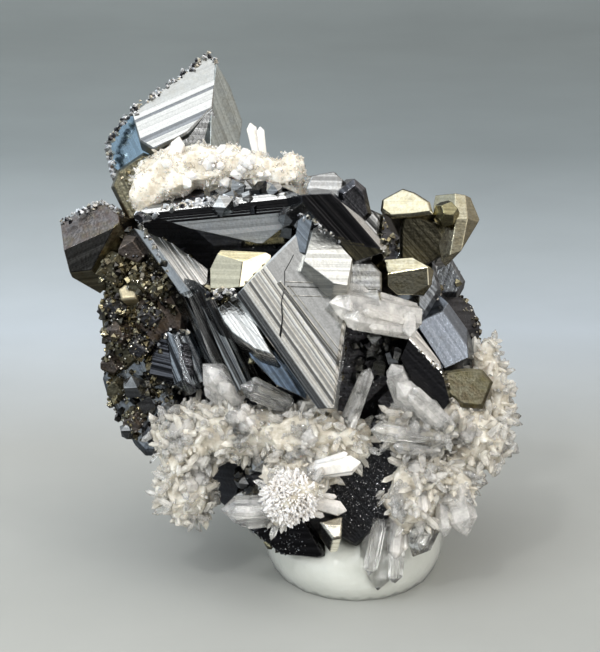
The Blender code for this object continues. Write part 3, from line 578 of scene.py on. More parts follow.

# The bright crown: its front, its grey right side, its left side tinted blue as a painted reflection, and its
# foot
CROWN = [
    Crystal((-9.6, 17.6, -1.0), -6, 27, 6.0, around(
        [(-13.4, 17.0), (-7.3, 21.7), (-6.7, 21.1), (-7.0, 17.5), (-9.0, 15.4), (-11.6, 14.0),
         (-12.8, 14.8)], 85, rim=0.1)),
    Crystal((-7.0, 17.5, -0.8), 34, 18, 6.0, around(
        [(-7.1, 17.5), (-6.7, 21.1), (-5.6, 19.2), (-4.6, 16.4), (-5.0, 13.4), (-7.2, 13.4)],
        85, rim=0.05)),
    Crystal((-8.0, 15.2, -0.4), 14, -4, 6.0, around(
        [(-9.4, 15.3), (-7.0, 17.4), (-6.2, 15.0), (-6.6, 12.6), (-9.8, 12.6)], 80, rim=0.1)),
    Crystal((-13.8, 14.8, -2.0), -36, 6, 5.0, around(
        [(-15.5, 14.3), (-14.9, 15.7), (-13.4, 17.0), (-12.0, 15.4), (-12.2, 11.0), (-14.4, 11.6)],
        75, rim=0.15)),
    Crystal((-12.6, 11.0, 0.0), -10, 4, 6.0, around(
        [(-14.9, 11.2), (-14.5, 12.3), (-12.6, 13.6), (-10.8, 13.4), (-10.4, 9.0), (-13.6, 8.6)], 60)),
    Crystal((-9.0, 12.0, -2.6), 0, 10, 5.0, around(
        [(-13.2, 12.0), (-12.0, 15.2), (-6.4, 15.6), (-5.0, 12.0), (-5.6, 8.0), (-12.0, 8.0)], 80)),
]

# Rough tarnished lumps at the left edge: (middle, radius)
ROUGH = [
    ((-14.7, 4.6, 3.0), 1.2), ((-13.1, 6.2, 3.0), 1.2), ((-15.0, 1.4, 3.0), 0.9),
    ((-12.7, 3.4, 4.5), 0.9), ((-14.4, -0.6, 3.6), 1.0), ((-12.0, 0.8, 5.0), 0.8),
    ((-11.3, 3.0, 5.0), 0.7), ((-15.0, -3.0, 1.6), 0.8), ((-12.9, -1.6, 4.2), 0.8),
    ((-14.5, -5.0, 1.6), 0.9), ((-13.0, -7.6, 2.2), 0.9), ((-12.4, -5.2, 2.6), 0.7),
]

# Blunt tetrahedra on the back and the sides: (middle, size, angles)
BACK = [
    Tetrahedron((-6.5, 5.0, -7.5), 6.5, (200, 30, 10)),
    Tetrahedron((0.0, 7.5, -7.0), 6.5, (160, -20, 40)),
    Tetrahedron((6.0, 4.0, -9.5), 7.0, (190, 15, 75)),
    Tetrahedron((-3.5, -2.5, -10.5), 7.0, (185, -35, 20)),
    Tetrahedron((5.0, -4.0, -10.5), 7.0, (170, 40, 100)),
    Tetrahedron((9.6, -3.0, -8.6), 5.6, (180, 60, 30)),
    Tetrahedron((-10.0, -2.5, -5.5), 5.0, (190, -60, 65)),
    Tetrahedron((1.5, -10.5, -7.5), 6.0, (200, 10, 130)),
    Tetrahedron((8.0, -10.0, -5.5), 5.5, (150, 35, 15)),
    Tetrahedron((-5.5, -9.0, -4.5), 5.0, (160, -25, 90)),
    Tetrahedron((9.5, 4.6, -3.5), 4.6, (120, 40, 10)),
]

PYRITE_LEFT = [
    Crystal((-16.8, 6.1, 2.5), -10, 0, 5.5, [
        (0, (-18.9, 6.1), (-14.9, 7.9), 35),
        (1, (-19.1, 8.3), (-16.1, 10.0), 60),
        (1, (-16.1, 10.0), (-14.3, 8.7), 70),
        (0, (-14.9, 7.9), (-16.6, 4.7), 40),
        (4, (-13.2, 6.3), (-15.1, 3.5), 80),
        (0, (-16.7, 4.5), (-18.4, 4.3), 45),
        (6, (-16.0, 2.6), (-18.1, 3.8), 70),
        (0, (-18.4, 4.2), (-18.9, 6.1), 85),
        (4, (-14.2, 7.9), (-13.2, 6.3), 60),
    ]),
]

PYRITE_MIDDLE = [
    Crystal((-6.0, 4.4, 9.4), -22, 6, 3.6, [
        (0, (-4.6, 5.2), (-4.9, 3.0), 42),
        (0, (-6.6, 5.8), (-4.6, 5.2), 45),
        (2, (-6.5, 6.1), (-2.4, 5.9), 85),
        (1, (-2.3, 5.7), (-2.5, 3.7), 85),
        (0, (-4.9, 3.0), (-7.2, 3.0), 90),
        (1, (-3.4, 3.3), (-4.9, 3.1), 90),
        (0, (-7.2, 3.0), (-7.2, 4.6), 90),
        (0, (-7.2, 4.6), (-6.6, 5.8), 80),
    ]),
]

PYRITE_CLUSTER = [
    Crystal((8.4, 9.9, 6.3), -12, 22, 4.0, around(
        [(6.6, 9.4), (6.7, 10.1), (8.2, 10.9), (9.1, 10.6), (10.2, 9.9), (10.4, 9.2), (8.9, 9.0),
         (7.3, 8.9)], 50, rim=0.2)),
    Crystal((12.6, 8.0, 6.5), 5, 8, 4.0, [
        (0, (12.4, 8.6), (13.4, 8.6), 25),
        (0, (11.0, 6.0), (12.4, 8.6), 50),
        (1, (12.6, 8.4), (11.6, 10.7), 45),
        (1, (11.4, 10.8), (13.2, 10.5), 70),
        (1, (13.2, 10.5), (13.4, 8.6), 40),
        (0, (13.4, 8.6), (12.9, 6.0), 40),
        (5, (13.9, 9.7), (14.4, 8.5), 60),
        (6, (14.4, 8.5), (12.9, 6.0), 60),
        (0, (12.9, 6.0), (11.1, 5.3), 75),
        (0, (11.1, 5.3), (11.0, 6.0), 75),
        (3, (10.6, 9.6), (10.7, 10.3), 60),
        (2, (11.0, 6.2), (10.6, 9.8), 70),
    ]),
    Pyritohedron((11.7, 9.0, 6.4), 1.7, (20, 30, 10)),
    Crystal((9.8, 7.2, 6.0), 0, -12, 4.0, around(
        [(8.2, 7.5), (8.6, 9.4), (10.2, 9.4), (10.9, 8.0), (12.2, 7.4), (11.2, 5.6), (9.4, 4.6),
         (8.2, 5.4)], 60, rim=0.2)),
    Crystal((8.8, 3.8, 8.0), -5, -5, 4.5, [
        (0, (7.0, 4.2), (10.2, 4.7), 38),
        (0, (10.2, 4.8), (10.3, 3.1), 45),
        (0, (10.2, 3.2), (9.0, 2.5), 60),
        (0, (9.0, 2.5), (7.8, 2.5), 80),
        (0, (7.8, 2.5), (7.0, 3.2), 70),
        (0, (7.0, 3.2), (7.0, 4.2), 70),
        (1, (7.4, 6.4), (9.0, 5.5), 70),
        (1, (9.0, 5.5), (10.2, 5.6), 60),
        (2, (11.0, 5.8), (10.7, 4.2), 70),
    ]),
]

PYRITE_INNER = [
    Crystal((5.2, 4.0, 9.0), 10, 8, 4.0, around(
        [(4.0, 3.0), (4.0, 5.0), (5.7, 5.0), (6.4, 4.2), (6.4, 2.9)], 45, rim=0.2)),
    Crystal((5.0, 2.6, 9.2), 0, 32, 3.0, around(
        [(3.8, 2.4), (4.2, 3.1), (6.2, 2.9), (6.4, 1.9)], 50, rim=0.2)),
]

PYRITE_RIGHT = [
    Crystal((13.4, -4.8, 4.2), 8, 10, 4.5, around(
        [(11.7, -5.2), (11.8, -3.8), (13.4, -3.6), (14.5, -3.7), (15.2, -4.5), (14.5, -6.3),
         (13.1, -6.2)], 42, rim=0.3)),
]

PYRITE_LOW = [
    Crystal((2.7, -16.0, 7.2), 4, 28, 3.0, around(
        [(1.8, -15.7), (3.3, -15.3), (3.2, -16.8), (2.7, -16.9)], 50, rim=0.15)),
]

PYRITE_SPECK = [
    Crystal((-13.7, 2.7, 4.6), -10, 15, 2.5, around(
        [(-14.4, 2.9), (-14.0, 3.2), (-13.1, 3.1), (-13.2, 2.3), (-14.2, 2.2)], 45, rim=0.15)),
]

QUARTZ_CREST = [
    Boulder((-10.4, 12.1, 2.5), (2.0, 2.1, 2.2), 12, seed=21),
    Boulder((-7.6, 12.7, 2.8), (2.3, 1.7, 2.2), 12, seed=22),
    Boulder((-4.4, 12.7, 2.5), (2.5, 1.4, 2.2), 12, seed=23),
    Boulder((-1.2, 12.0, 2.5), (1.8, 1.2, 2.1), 12, seed=24),
    Boulder((-12.0, 10.6, 3.2), (1.2, 1.2, 1.5), 10, seed=25),
    Prism((-3.2, 13.0, 2.0), (-4.0, 16.3, 2.0), 0.8),
    Prism((-2.9, 13.0, 2.4), (-3.2, 16.0, 2.6), 0.6),
]
QUARTZ_CREST += spray((-10.2, 12.4, 2.8), 1.9, 7, 0.8, 0.9, 31)
QUARTZ_CREST += spray((-7.2, 12.6, 3.0), 1.9, 7, 0.8, 0.9, 32)
QUARTZ_CREST += spray((-4.0, 12.6, 3.0), 1.6, 7, 0.7, 0.9, 33)

QUARTZ_MIDDLE = [
    Prism((9.2, 0.6, 7.0), (2.3, 1.9, 10.8), 2.0, twist=0.2),
    Prism((8.6, -0.2, 8.2), (3.4, 0.7, 11.2), 1.5),
    Prism((8.8, 0.8, 8.6), (8.8, -0.9, 10.2), 0.9),
]

QUARTZ_LEFT = [
    Boulder((-9.0, -9.3, 3.8), (2.6, 2.8, 2.7), 14, seed=41),
    Boulder((-8.9, -12.8, 2.8), (2.0, 2.6, 2.3), 14, seed=42),
    Boulder((-4.6, -8.3, 5.6), (3.6, 2.0, 2.4), 14, seed=43),
    Boulder((0.3, -8.6, 6.6), (3.4, 1.9, 2.1), 14, seed=44),
    Boulder((3.4, -9.0, 6.2), (1.9, 1.8, 1.9), 12, seed=45),
    Boulder((0.2, -11.6, 6.0), (2.2, 2.1, 1.9), 12, seed=46),
    Boulder((-0.8, -13.6, 7.8), (1.8, 1.8, 1.6), 14, seed=47),
    Prism((4.0, -7.8, 7.2), (5.6, -3.3, 8.8), 1.0),
    Prism((1.0, -11.5, 7.4), (4.9, -10.9, 9.0), 1.2),
    Prism((-1.0, -14.6, 6.4), (-6.4, -14.7, 6.6), 1.9),
    Prism((-0.6, -13.6, 7.0), (3.8, -14.8, 7.9), 1.1),
    Prism((-5.0, -5.8, 5.5), (-7.8, -3.0, 6.8), 2.0),
    Prism((-1.0, -6.4, 6.6), (-4.8, -4.7, 8.4), 1.3),
]
QUARTZ_LEFT += spray((-9.0, -9.3, 4.0), 2.4, 11, 0.9, 1.1, 51)
QUARTZ_LEFT += spray((-8.8, -12.6, 3.0), 2.1, 9, 0.8, 1.0, 52)
QUARTZ_LEFT += spray((-4.8, -8.3, 6.0), 2.0, 11, 1.0, 1.0, 53)
QUARTZ_LEFT += spray((0.3, -8.6, 6.8), 1.8, 10, 1.0, 1.0, 54)
QUARTZ_LEFT += spray((0.2, -11.6, 6.2), 1.7, 6, 1.0, 0.9, 55)

QUARTZ_RIGHT = [
    Boulder((14.0, -9.1, 2.4), (2.5, 2.5, 2.7), 14, seed=61),
    Boulder((12.2, -7.6, 3.2), (1.9, 1.6, 1.9), 12, seed=62),
    Boulder((15.0, -3.4, 0.8), (1.0, 2.1, 1.6), 12, seed=63),
    Boulder((15.9, -6.3, 0.8), (0.9, 2.3, 1.6), 12, seed=64),
    Boulder((9.6, -12.0, 5.2), (2.1, 1.6, 2.1), 12, seed=65),
    Boulder((8.8, -14.2, 4.6), (2.1, 2.2, 2.2), 12, seed=66),
    Boulder((12.0, -12.8, 3.6), (1.8, 2.1, 2.0), 12, seed=67),
    Boulder((9.4, -8.6, 6.0), (2.4, 1.7, 1.9), 12, seed=68),
    Prism((9.6, -8.0, 6.6), (7.3, -3.0, 8.8), 1.4, point=0.5),
    Prism((11.0, -7.6, 7.4), (7.7, -4.5, 9.6), 1.5),
    Prism((11.6, -8.2, 6.8), (9.2, -5.4, 9.0), 1.1),
    Prism((11.8, -9.1, 6.6), (5.6, -8.3, 9.2), 1.4),
    Prism((11.0, -9.9, 6.6), (7.4, -9.6, 8.8), 1.0),
    Prism((12.2, -12.8, 4.6), (13.4, -16.9, 5.0), 2.1),
    Prism((9.7, -13.0, 6.0), (9.7, -15.4, 6.8), 0.9),
    Prism((7.8, -13.6, 6.0), (8.2, -15.9, 6.8), 0.9),
    Prism((6.9, -15.4, 4.4), (6.2, -21.2, 4.2), 1.9),
    Prism((10.5, -15.4, 4.2), (9.0, -18.5, 4.8), 1.8),
    Prism((7.9, -15.4, 4.8), (7.6, -18.7, 5.4), 0.9),
    Prism((15.6, -8.8, 2.4), (17.6, -10.2, 2.6), 1.0),
    Prism((13.0, -12.0, 3.8), (15.1, -12.6, 4.4), 0.8),
]
QUARTZ_RIGHT += spray((14.0, -9.1, 2.6), 2.3, 11, 0.7, 0.9, 71)
QUARTZ_RIGHT += spray((9.6, -12.0, 5.6), 1.8, 9, 0.7, 0.9, 72)
QUARTZ_RIGHT += spray((9.4, -8.6, 6.2), 1.7, 8, 0.8, 0.9, 73)

# The back, which the display side hides
AWAY = (0.0, 0.2, -1.0)
PYRITE_BACK = [
    Pyritohedron((7.2, 0.8, -12.6), 4.2, (30, 15, 10)),
    Pyritohedron((5.0, -0.6, -13.4), 3.0, (60, 25, 40)),
    Pyritohedron((8.8, -1.0, -12.0), 2.6, (10, 50, 20)),
]
QUARTZ_BACK = [
    Boulder((-4.0, 1.5, -12.8), (3.2, 2.2, 2.0), 14, seed=75),
    Boulder((-7.2, 0.0, -11.4), (2.4, 2.0, 2.2), 14, seed=76),
    Boulder((-1.2, 3.0, -12.6), (2.2, 1.8, 2.0), 14, seed=77),
]
QUARTZ_BACK += spray((-4.0, 1.5, -13.0), 2.0, 8, 1.0, 1.1, 78, lean=AWAY)
QUARTZ_BACK += spray((-7.2, 0.0, -11.8), 1.9, 5, 0.9, 1.0, 79, lean=AWAY)


# Tones of the metallic faces: the minerals' own greys and brasses, made lighter on faces that show a bright
# reflection and darker on faces that show a dark one, so they are partly painted highlight and painted shade.
BRIGHT = (0.70, 0.70, 0.68)
STEEL = (0.47, 0.48, 0.48)
SLATE = (0.29, 0.31, 0.33)
# A blue tone for faces that show a painted blue reflection
REFLECTED_BLUE = (0.26, 0.32, 0.40)
DARK = (0.12, 0.12, 0.13)
BLACK = (0.07, 0.07, 0.075)
OLIVE = (0.24, 0.22, 0.15)
BROWN = (0.24, 0.20, 0.175)
KHAKI = (0.46, 0.42, 0.29)
BRASS = (0.66, 0.61, 0.46)
PALE_BRASS = (0.90, 0.85, 0.72)
# The darker and the lighter colour of the chips
GOLDEN_GREY = (0.52, 0.46, 0.29)
SILVER = (0.70, 0.71, 0.72)
GREY = (0.66, 0.67, 0.66)


def milk(amount):
    """Quartz keeps how milky it is in its colour: white is milky and black is clear."""
    return (amount, amount, amount)


SNOW = milk(1.0)
MILKY = milk(0.85)
CLOUDY = milk(0.68)
HAZY = milk(0.60)
CLOUDED = milk(0.35)
VEILED = milk(0.32)
GLASSY = milk(0.12)
CLEAR = milk(0.0)

# The ways that the fine lines run on the main crystals
DOWN_KITE = ((2.1, -6.6), (-4.6, 3.0))
ALONG_BLADE = ((2.5, 10.6), (6.7, 5.9))
ALONG_CROWN = ((-12.0, 17.8), (-6.8, 20.1))
ALONG_ROOF = ((-12.0, 8.6), (0.2, 9.7))
LEVEL = ((-1.2, 3.6), (3.0, 3.5))
DOWN_WALL = ((-12.9, 8.6), (-8.5, 2.4))
STREAKS = ((-8.0, 3.0), (-4.0, -5.0))

# The roof's front face is near white: painted light over the mineral's grey, for a face that mirrors the
# dark.
ROOF.dressed(Finish((0.93, 0.98, 1.0), ALONG_ROOF, 0.3, 0.26, 0.35, 0.1), {
    1: Finish(BLACK, ALONG_ROOF, 0.2, 0.08, 0.05),
    2: Finish(BRIGHT, ALONG_ROOF, 0.3, 0.14, 0.4),
    3: Finish(SLATE, ALONG_ROOF, 0.4, 0.25, 1.0),
})
WALL.dressed(Finish(BRIGHT, DOWN_WALL, 0.6, 0.14, 0.1), {
    5: Finish(STEEL, DOWN_WALL, 0.15, 0.16, 0.1),
    6: Finish(SLATE, DOWN_WALL, 0.3, 0.2, 0.4),
})
KITE.dressed(Finish((0.60, 0.61, 0.60), DOWN_KITE, 0.10, 0.15, 0.03, 0.05), {
    5: Finish(STEEL, ((3.7, 0.1), (2.7, -6.6)), 0.4, 0.14, 0.1),
    8: Finish((0.42, 0.43, 0.43), DOWN_KITE, 0.8, 0.13, 0.05),
})
LEDGE.dressed(Finish((0.55, 0.55, 0.53), DOWN_KITE, 0.4, 0.16, 0.3))
BLUE.dressed(Finish(REFLECTED_BLUE, DOWN_KITE, 0.4, 0.14, 0.1, 0.4))
PLATES.dressed(Finish((0.72, 0.71, 0.66), LEVEL, 0.3, 0.36, 0.6))
BLADE.dressed(Finish(BLACK, ALONG_BLADE, 0.4, 0.08, 0.05), {
    3: Finish(BRIGHT, ALONG_BLADE, 0.3, 0.12, 0.1),
    6: Finish(OLIVE, ALONG_BLADE, 0.6, 0.2, 0.3),
})
FANG.dressed(Finish(BLACK, ((8.7, -1.0), (11.4, -3.8)), 0.3, 0.10, 0.2), {
    1: Finish(BRIGHT, ((8.7, -1.0), (11.4, -3.8)), 0.3, 0.12, 0.1),
})
DOME.dressed(Finish((0.19, 0.21, 0.24), ((11.6, 1.0), (13.4, -1.6)), 0.12, 0.24, 0.1))

SMALLER_FINISHES = [
    Finish(STEEL, LEVEL, 0.5, 0.2, 0.3), Finish(DARK, ALONG_BLADE, 0.6, 0.14, 0.3),
    Finish(STEEL, ALONG_BLADE, 0.9, 0.16, 0.3), Finish(OLIVE, ALONG_ROOF, 0.4, 0.2, 0.4),
    Finish(SLATE, ALONG_BLADE, 0.4, 0.15, 0.2), Finish(SLATE, ALONG_BLADE, 0.6, 0.2, 0.6),
    Finish(BLACK, ALONG_BLADE, 0.3, 0.22, 1.0), Finish(BLACK, LEVEL, 0.4, 0.15, 0.4),
    Finish(SLATE, STREAKS, 0.4, 0.22, 0.8, 0.5), Finish(DARK, ((-11.6, -1.0), (-9.2, -1.6)), 0.9, 0.14, 0.3),
    Finish(SLATE, ((-9.6, -0.7), (-8.0, -4.4)), 0.9, 0.14, 0.3), Finish(OLIVE, STREAKS, 0.3, 0.3, 1.0, 0.6),
    Finish(BROWN, STREAKS, 0.3, 0.3, 1.0, 0.7), Finish(OLIVE, LEVEL, 0.3, 0.3, 1.0, 0.6),
    Finish((0.40, 0.40, 0.39), STREAKS, 1.0, 0.10, 0.1), Finish((0.30, 0.30, 0.30), STREAKS, 1.0, 0.10, 0.1),
    Finish((0.40, 0.41, 0.41), STREAKS, 1.0, 0.12, 0.2),
]
for solid, finish in zip(SMALLER, SMALLER_FINISHES):
    solid.dressed(finish)

CROWN_FINISHES = [
    Finish((0.38, 0.385, 0.37), ALONG_CROWN, 0.08, 0.30, 0.05, 0.15),
    Finish((0.34, 0.37, 0.36), ((-6.7, 19.6), (-4.9, 15.0)), 0.25, 0.24, 0.3, 0.2),
    Finish(STEEL, LEVEL, 0.4, 0.16, 0.3), Finish((0.31, 0.42, 0.50), STREAKS, 0.15, 0.18, 0.2, 0.08),
    Finish(OLIVE, STREAKS, 0.4, 0.2, 0.6, 0.4), Finish(SLATE, LEVEL, 0.4, 0.2, 0.6),
]
for solid, finish in zip(CROWN, CROWN_FINISHES):
    solid.dressed(finish)
for solid in CORE:
    solid.dressed(Finish(DARK, LEVEL, 0.3, 0.3, 1.0, 0.3))
for k, solid in enumerate(BACK):
    colour = (STEEL, SLATE, DARK)[k % 3]
    solid.dressed(Finish(colour, ((0.0, 0.0), (1.0, 0.3 * k)), 0.4, 0.16, 0.3, 0.2))
LUMP_CUTS = 10
LUMPS = [
    Boulder(middle, (radius, radius, radius), LUMP_CUTS, seed=80 + k).dressed(
        Finish((OLIVE, BROWN, DARK)[k % 3], LEVEL, 0.3, 0.3, 1.0, 0.6))
    for k, (middle, radius) in enumerate(ROUGH)
]

# Painted light and dark stripes for the steps and ridges of the kite, painted shade for its creases, and
# painted light and dark bands for the steps of the crown
PALE_STRIPE = Finish((1.0, 0.98, 0.90), DOWN_KITE, 0.45, 0.12, 0.05)
DARK_STRIPE = Finish((0.24, 0.24, 0.23), DOWN_KITE, 0.5, 0.12, 0.05)
GREY_STRIPE = Finish((1.0, 1.0, 0.94), DOWN_KITE, 0.55, 0.14, 0.05)
KITE_STRIPES = (
    GREY_STRIPE, PALE_STRIPE, DARK_STRIPE, PALE_STRIPE, GREY_STRIPE, PALE_STRIPE, GREY_STRIPE,
)
SLANT_STRIPES = (DARK_STRIPE, GREY_STRIPE, DARK_STRIPE)
# A near-black finish: painted shade in the creases of the kite
CREASE_SHADE = Finish((0.02, 0.02, 0.02), LEVEL, 0.0, 0.4, 0.0, 0.0)
KITE_RIDGES = (
    ((-1.5, 3.6), (3.5, -3.0), 0.10, 0.30, PALE_STRIPE), ((-1.7, 3.5), (3.4, -3.3), 0.12, 0.26, DARK_STRIPE),
    ((-0.9, 3.3), (3.6, -2.4), 0.05, 0.26, PALE_STRIPE), ((-1.2, 3.6), (3.2, 3.45), 0.06, 0.24, PALE_STRIPE),
    ((-0.9, 2.5), (3.4, 2.35), 0.05, 0.24, PALE_STRIPE), ((-1.0, 3.2), (2.6, 3.1), 0.05, 0.23, DARK_STRIPE),
    ((-0.5, 5.7), (-0.8, 5.1), 0.03, 0.22, CREASE_SHADE), ((-0.8, 5.1), (-1.2, 4.4), 0.03, 0.22, CREASE_SHADE),
    ((-1.2, 4.4), (-1.2, 3.2), 0.03, 0.22, CREASE_SHADE), ((-1.2, 3.2), (-1.45, 1.9), 0.03, 0.24, CREASE_SHADE),
    ((-1.45, 1.9), (-1.35, 0.6), 0.025, 0.24, CREASE_SHADE), ((-1.35, 0.6), (-1.55, -0.8), 0.02, 0.24, CREASE_SHADE),
)
CROWN_BANDS = (
    Finish((0.52, 0.52, 0.50), ALONG_CROWN, 0.15, 0.26, 0.05, 0.0),
    Finish((0.20, 0.21, 0.22), ALONG_CROWN, 0.3, 0.24, 0.05, 0.1),
    Finish((0.46, 0.46, 0.44), ALONG_CROWN, 0.15, 0.26, 0.05, 0.0),
)
# Growth steps: (start, end, count, how wide together, how high each, seed)
STEPS = KITE.terraces(*DOWN_KITE, 12, 2.5, 0.014, 1, stripes=KITE_STRIPES)
STEPS += KITE.terraces(*DOWN_KITE, 6, 1.5, 0.022, 3, on=8, stripes=SLANT_STRIPES)
STEPS += [KITE.ridge(*ridge) for ridge in KITE_RIDGES]
STEPS += CROWN[0].terraces(*ALONG_CROWN, 10, 4.6, 0.03, 4, stripes=CROWN_BANDS)
STEPS += WALL.terraces((-8.5, 2.4), (-12.9, 8.6), 6, 2.4, 0.04, 5)
STEPS += BLADE.terraces(*ALONG_BLADE, 3, 1.8, 0.04, 6)
STEPS += LEDGE.terraces((-2.3, -2.2), (-6.6, 1.5), 3, 1.4, 0.04, 7)
STEPS += PLATES.terraces((3.8, 5.9), (0.5, 5.7), 2, 1.2, 0.04, 8)
STEPS += ROOF.terraces((0.0, 8.6), (-11.0, 7.6), 3, 1.2, 0.04, 9)
# Steps down both sides of some smaller crystals: (number, count)
for k, (number, count) in enumerate(((9, 4), (10, 5), (14, 5), (15, 5), (16, 5), (2, 4), (8, 3))):
    stepped = SMALLER[number]
    start, end = stepped.finish.grain
    STEPS += stepped.terraces(start, end, count, 1.2, 0.04, seed=20 + k)
    STEPS += stepped.terraces(end, start, count, 1.2, 0.04, seed=40 + k)

for solids, finish in (
    (PYRITE_LEFT, Finish(BROWN, LEVEL, 0.15, 0.2, 0.6, 0.9)),
    (PYRITE_MIDDLE, Finish(BRASS, LEVEL, 0.3, 0.14, 0.15, 0.2)),
    (PYRITE_CLUSTER, Finish((0.47, 0.44, 0.33), LEVEL, 0.12, 0.15, 0.2, 0.5)),
    (PYRITE_INNER, Finish(STEEL, LEVEL, 0.4, 0.2, 0.8, 0.4)),
    (PYRITE_RIGHT, Finish((0.19, 0.18, 0.125), LEVEL, 0.15, 0.2, 0.8, 0.6)),
    (PYRITE_LOW, Finish(PALE_BRASS, LEVEL, 0.3, 0.12, 0.1, 0.1)),
    (PYRITE_SPECK, Finish((0.82, 0.72, 0.50), LEVEL, 0.2, 0.5, 0.4, 0.2)),
    (PYRITE_BACK, Finish(BRASS, LEVEL, 0.5, 0.15, 0.2, 0.3)),
):
    for solid in solids:
        solid.dressed(finish)
PYRITE_LEFT[0].others = {
    1: Finish((0.20, 0.185, 0.18), ((-18.9, 6.1), (-14.9, 7.9)), 0.1, 0.2, 1.0, 0.6),
    4: Finish(OLIVE, ((-13.2, 6.3), (-15.1, 3.5)), 0.2, 0.2, 0.6, 0.7),
    6: Finish(KHAKI, ((-16.7, 4.5), (-18.4, 4.3)), 0.5, 0.16, 0.3, 0.4),
    0: Finish((0.07, 0.066, 0.06), ((-18.9, 6.1), (-14.9, 7.9)), 0.4, 0.12, 0.3, 0.2),
}
# The dark crystal in the middle of the cluster, and the small one at its upper right
PYRITE_CLUSTER[3].dressed(Finish((0.13, 0.12, 0.085), ALONG_BLADE, 0.5, 0.2, 1.0, 0.3))
PYRITE_CLUSTER[2].dressed(Finish((0.30, 0.28, 0.17), LEVEL, 0.2, 0.18, 0.4, 0.4))
# Face 1 of the middle pyrite is near white, a painted highlight over the brass; the window in the sky lights
# it as well.
PYRITE_MIDDLE[0].others = {
    0: Finish((0.80, 0.73, 0.54), LEVEL, 0.2, 0.22, 0.1, 0.1),
    1: Finish((1.0, 0.92, 0.70), LEVEL, 0.1, 0.16, 0.05, 0.0),
    2: Finish((0.70, 0.62, 0.40), LEVEL, 0.3, 0.2, 0.15, 0.3),
}


def prisms_of(solids):
    """The prisms among some solids of quartz."""
    return [solid for solid in solids if isinstance(solid, Prism)]


def boulders_of(solids):
    """The lumps among some solids of quartz."""
    return [solid for solid in solids if isinstance(solid, Boulder)]


CLARITY = random.Random(5)
for solids in (QUARTZ_CREST, QUARTZ_LEFT, QUARTZ_RIGHT, QUARTZ_BACK, QUARTZ_MIDDLE):
    for solid in solids:
        clouded = CLARITY.choice((0.05, 0.15, 0.25, 0.45))
        solid.dressed(Finish(milk(clouded) if isinstance(solid, Prism) else CLOUDY))
WHITE_PRISM = QUARTZ_LEFT[8]
for solid in [WHITE_PRISM] + prisms_of(QUARTZ_CREST):
    solid.dressed(Finish(MILKY))
for solid in QUARTZ_MIDDLE:
    solid.dressed(Finish(VEILED))

TETRAHEDRITE = CORE + [ROOF, WALL, KITE, LEDGE, BLUE, PLATES, BLADE, FANG, DOME]
TETRAHEDRITE += SMALLER + CROWN + BACK + LUMPS + STEPS

# The looks of the grains along the edges of crystals: the near-white dull ones are painted glints, and the
# others are grey, dark and brassy grains
GLINTS = (
    Finish((0.98, 0.98, 0.98), rough=0.9), Finish((0.92, 0.94, 0.96), rough=0.5), Finish(BRIGHT),
    Finish(DARK), Finish(PALE_BRASS, rough=0.4),
)
# Where they are: (path, grains to the millimetre, smallest, largest)
GRAINY_EDGES = (
    (((-12.9, 8.7, 6.4), (-7.5, 9.9, 6.4), (-5.0, 9.9, 6.3)), 44, 0.08, 0.30),
    (((-5.0, 9.9, 6.3), (0.2, 10.5, 6.0)), 6, 0.06, 0.14),
    (((-14.6, 15.8, -1.9), (-13.4, 17.1, -1.2), (-7.3, 21.7, -3.0), (-6.7, 21.2, -2.6)), 14, 0.06, 0.17),
    (((-15.4, 14.4, -2.2), (-14.6, 15.8, -1.9)), 14, 0.08, 0.2),
    (((-15.4, 14.3, -2.2), (-14.6, 11.8, -1.4), (-14.2, 10.6, -0.6)), 12, 0.08, 0.22),
    (((-12.9, 8.4, 5.6), (-10.6, 4.4, 5.0), (-9.0, 2.4, 5.0)), 7, 0.06, 0.16),
    (((-7.2, 2.4, 9.2), (-6.0, 2.9, 9.4), (-4.4, 2.2, 9.6)), 26, 0.08, 0.24),
    (((-11.4, -1.2, 4.8), (-10.4, -0.5, 4.8), (-8.8, -0.5, 5.2)), 8, 0.06, 0.16),
    (((8.6, -1.0, 6.2), (11.4, -3.8, 6.0)), 6, 0.05, 0.12),
    (((0.0, 8.8, 10.0), (0.9, 8.6, 10.2), (3.2, 6.7, 10.8)), 7, 0.05, 0.14),
    (((-19.0, 8.3, 1.6), (-17.5, 9.1, 1.2), (-16.1, 9.9, 0.8), (-15.1, 9.6, 1.0), (-14.3, 8.7, 1.6)),
     12, 0.06, 0.2),
)

# Where small crystals grow, as it shows from the display side: (right, up, radius, amount)
ROUGH_ZONES = (
    (-13.2, 2.6, 3.6, 1.0), (-13.6, -2.0, 3.0, 0.8), (-12.4, -6.6, 3.2, 0.8), (-6.2, 2.6, 1.2, 0.7),
    (-12.6, 11.0, 1.6, 0.6), (5.2, 3.9, 1.2, 0.4), (11.0, 3.6, 1.4, 0.15), (7.6, 7.0, 1.6, 0.4),
)
JUMBLED_ZONES = (
    (6.1, -2.6, 2.7, 1.0), (-4.6, 10.6, 2.4, 1.0), (-3.4, -12.2, 2.0, 0.8), (-12.6, -7.0, 2.4, 0.5),
    (9.6, 4.4, 1.6, 0.6), (-1.4, 8.0, 1.5, 0.8),
)
DUSTY_ZONES = (
    (5.6, -13.0, 3.8, 1.0), (7.4, -7.2, 1.9, 1.0), (-1.6, -17.2, 2.6, 0.5), (-3.0, -12.0, 2.4, 0.4),
    (4.8, -3.2, 3.0, 0.8),
)
# The white tuft in front of the left quartz: its middle, how far its needles show, and its heart
TUFT = (-0.8, -13.8)
TUFT_RADIUS = 1.9
TUFT_HEART = 1.4


def empty_piece():
    """A mesh under construction, with the layers that the finishes read."""
    mesh = bmesh.new()
    mesh.faces.layers.float_color.new("tint")
    mesh.faces.layers.float_color.new("surface")
    mesh.faces.layers.float_vector.new("grain")
    return mesh


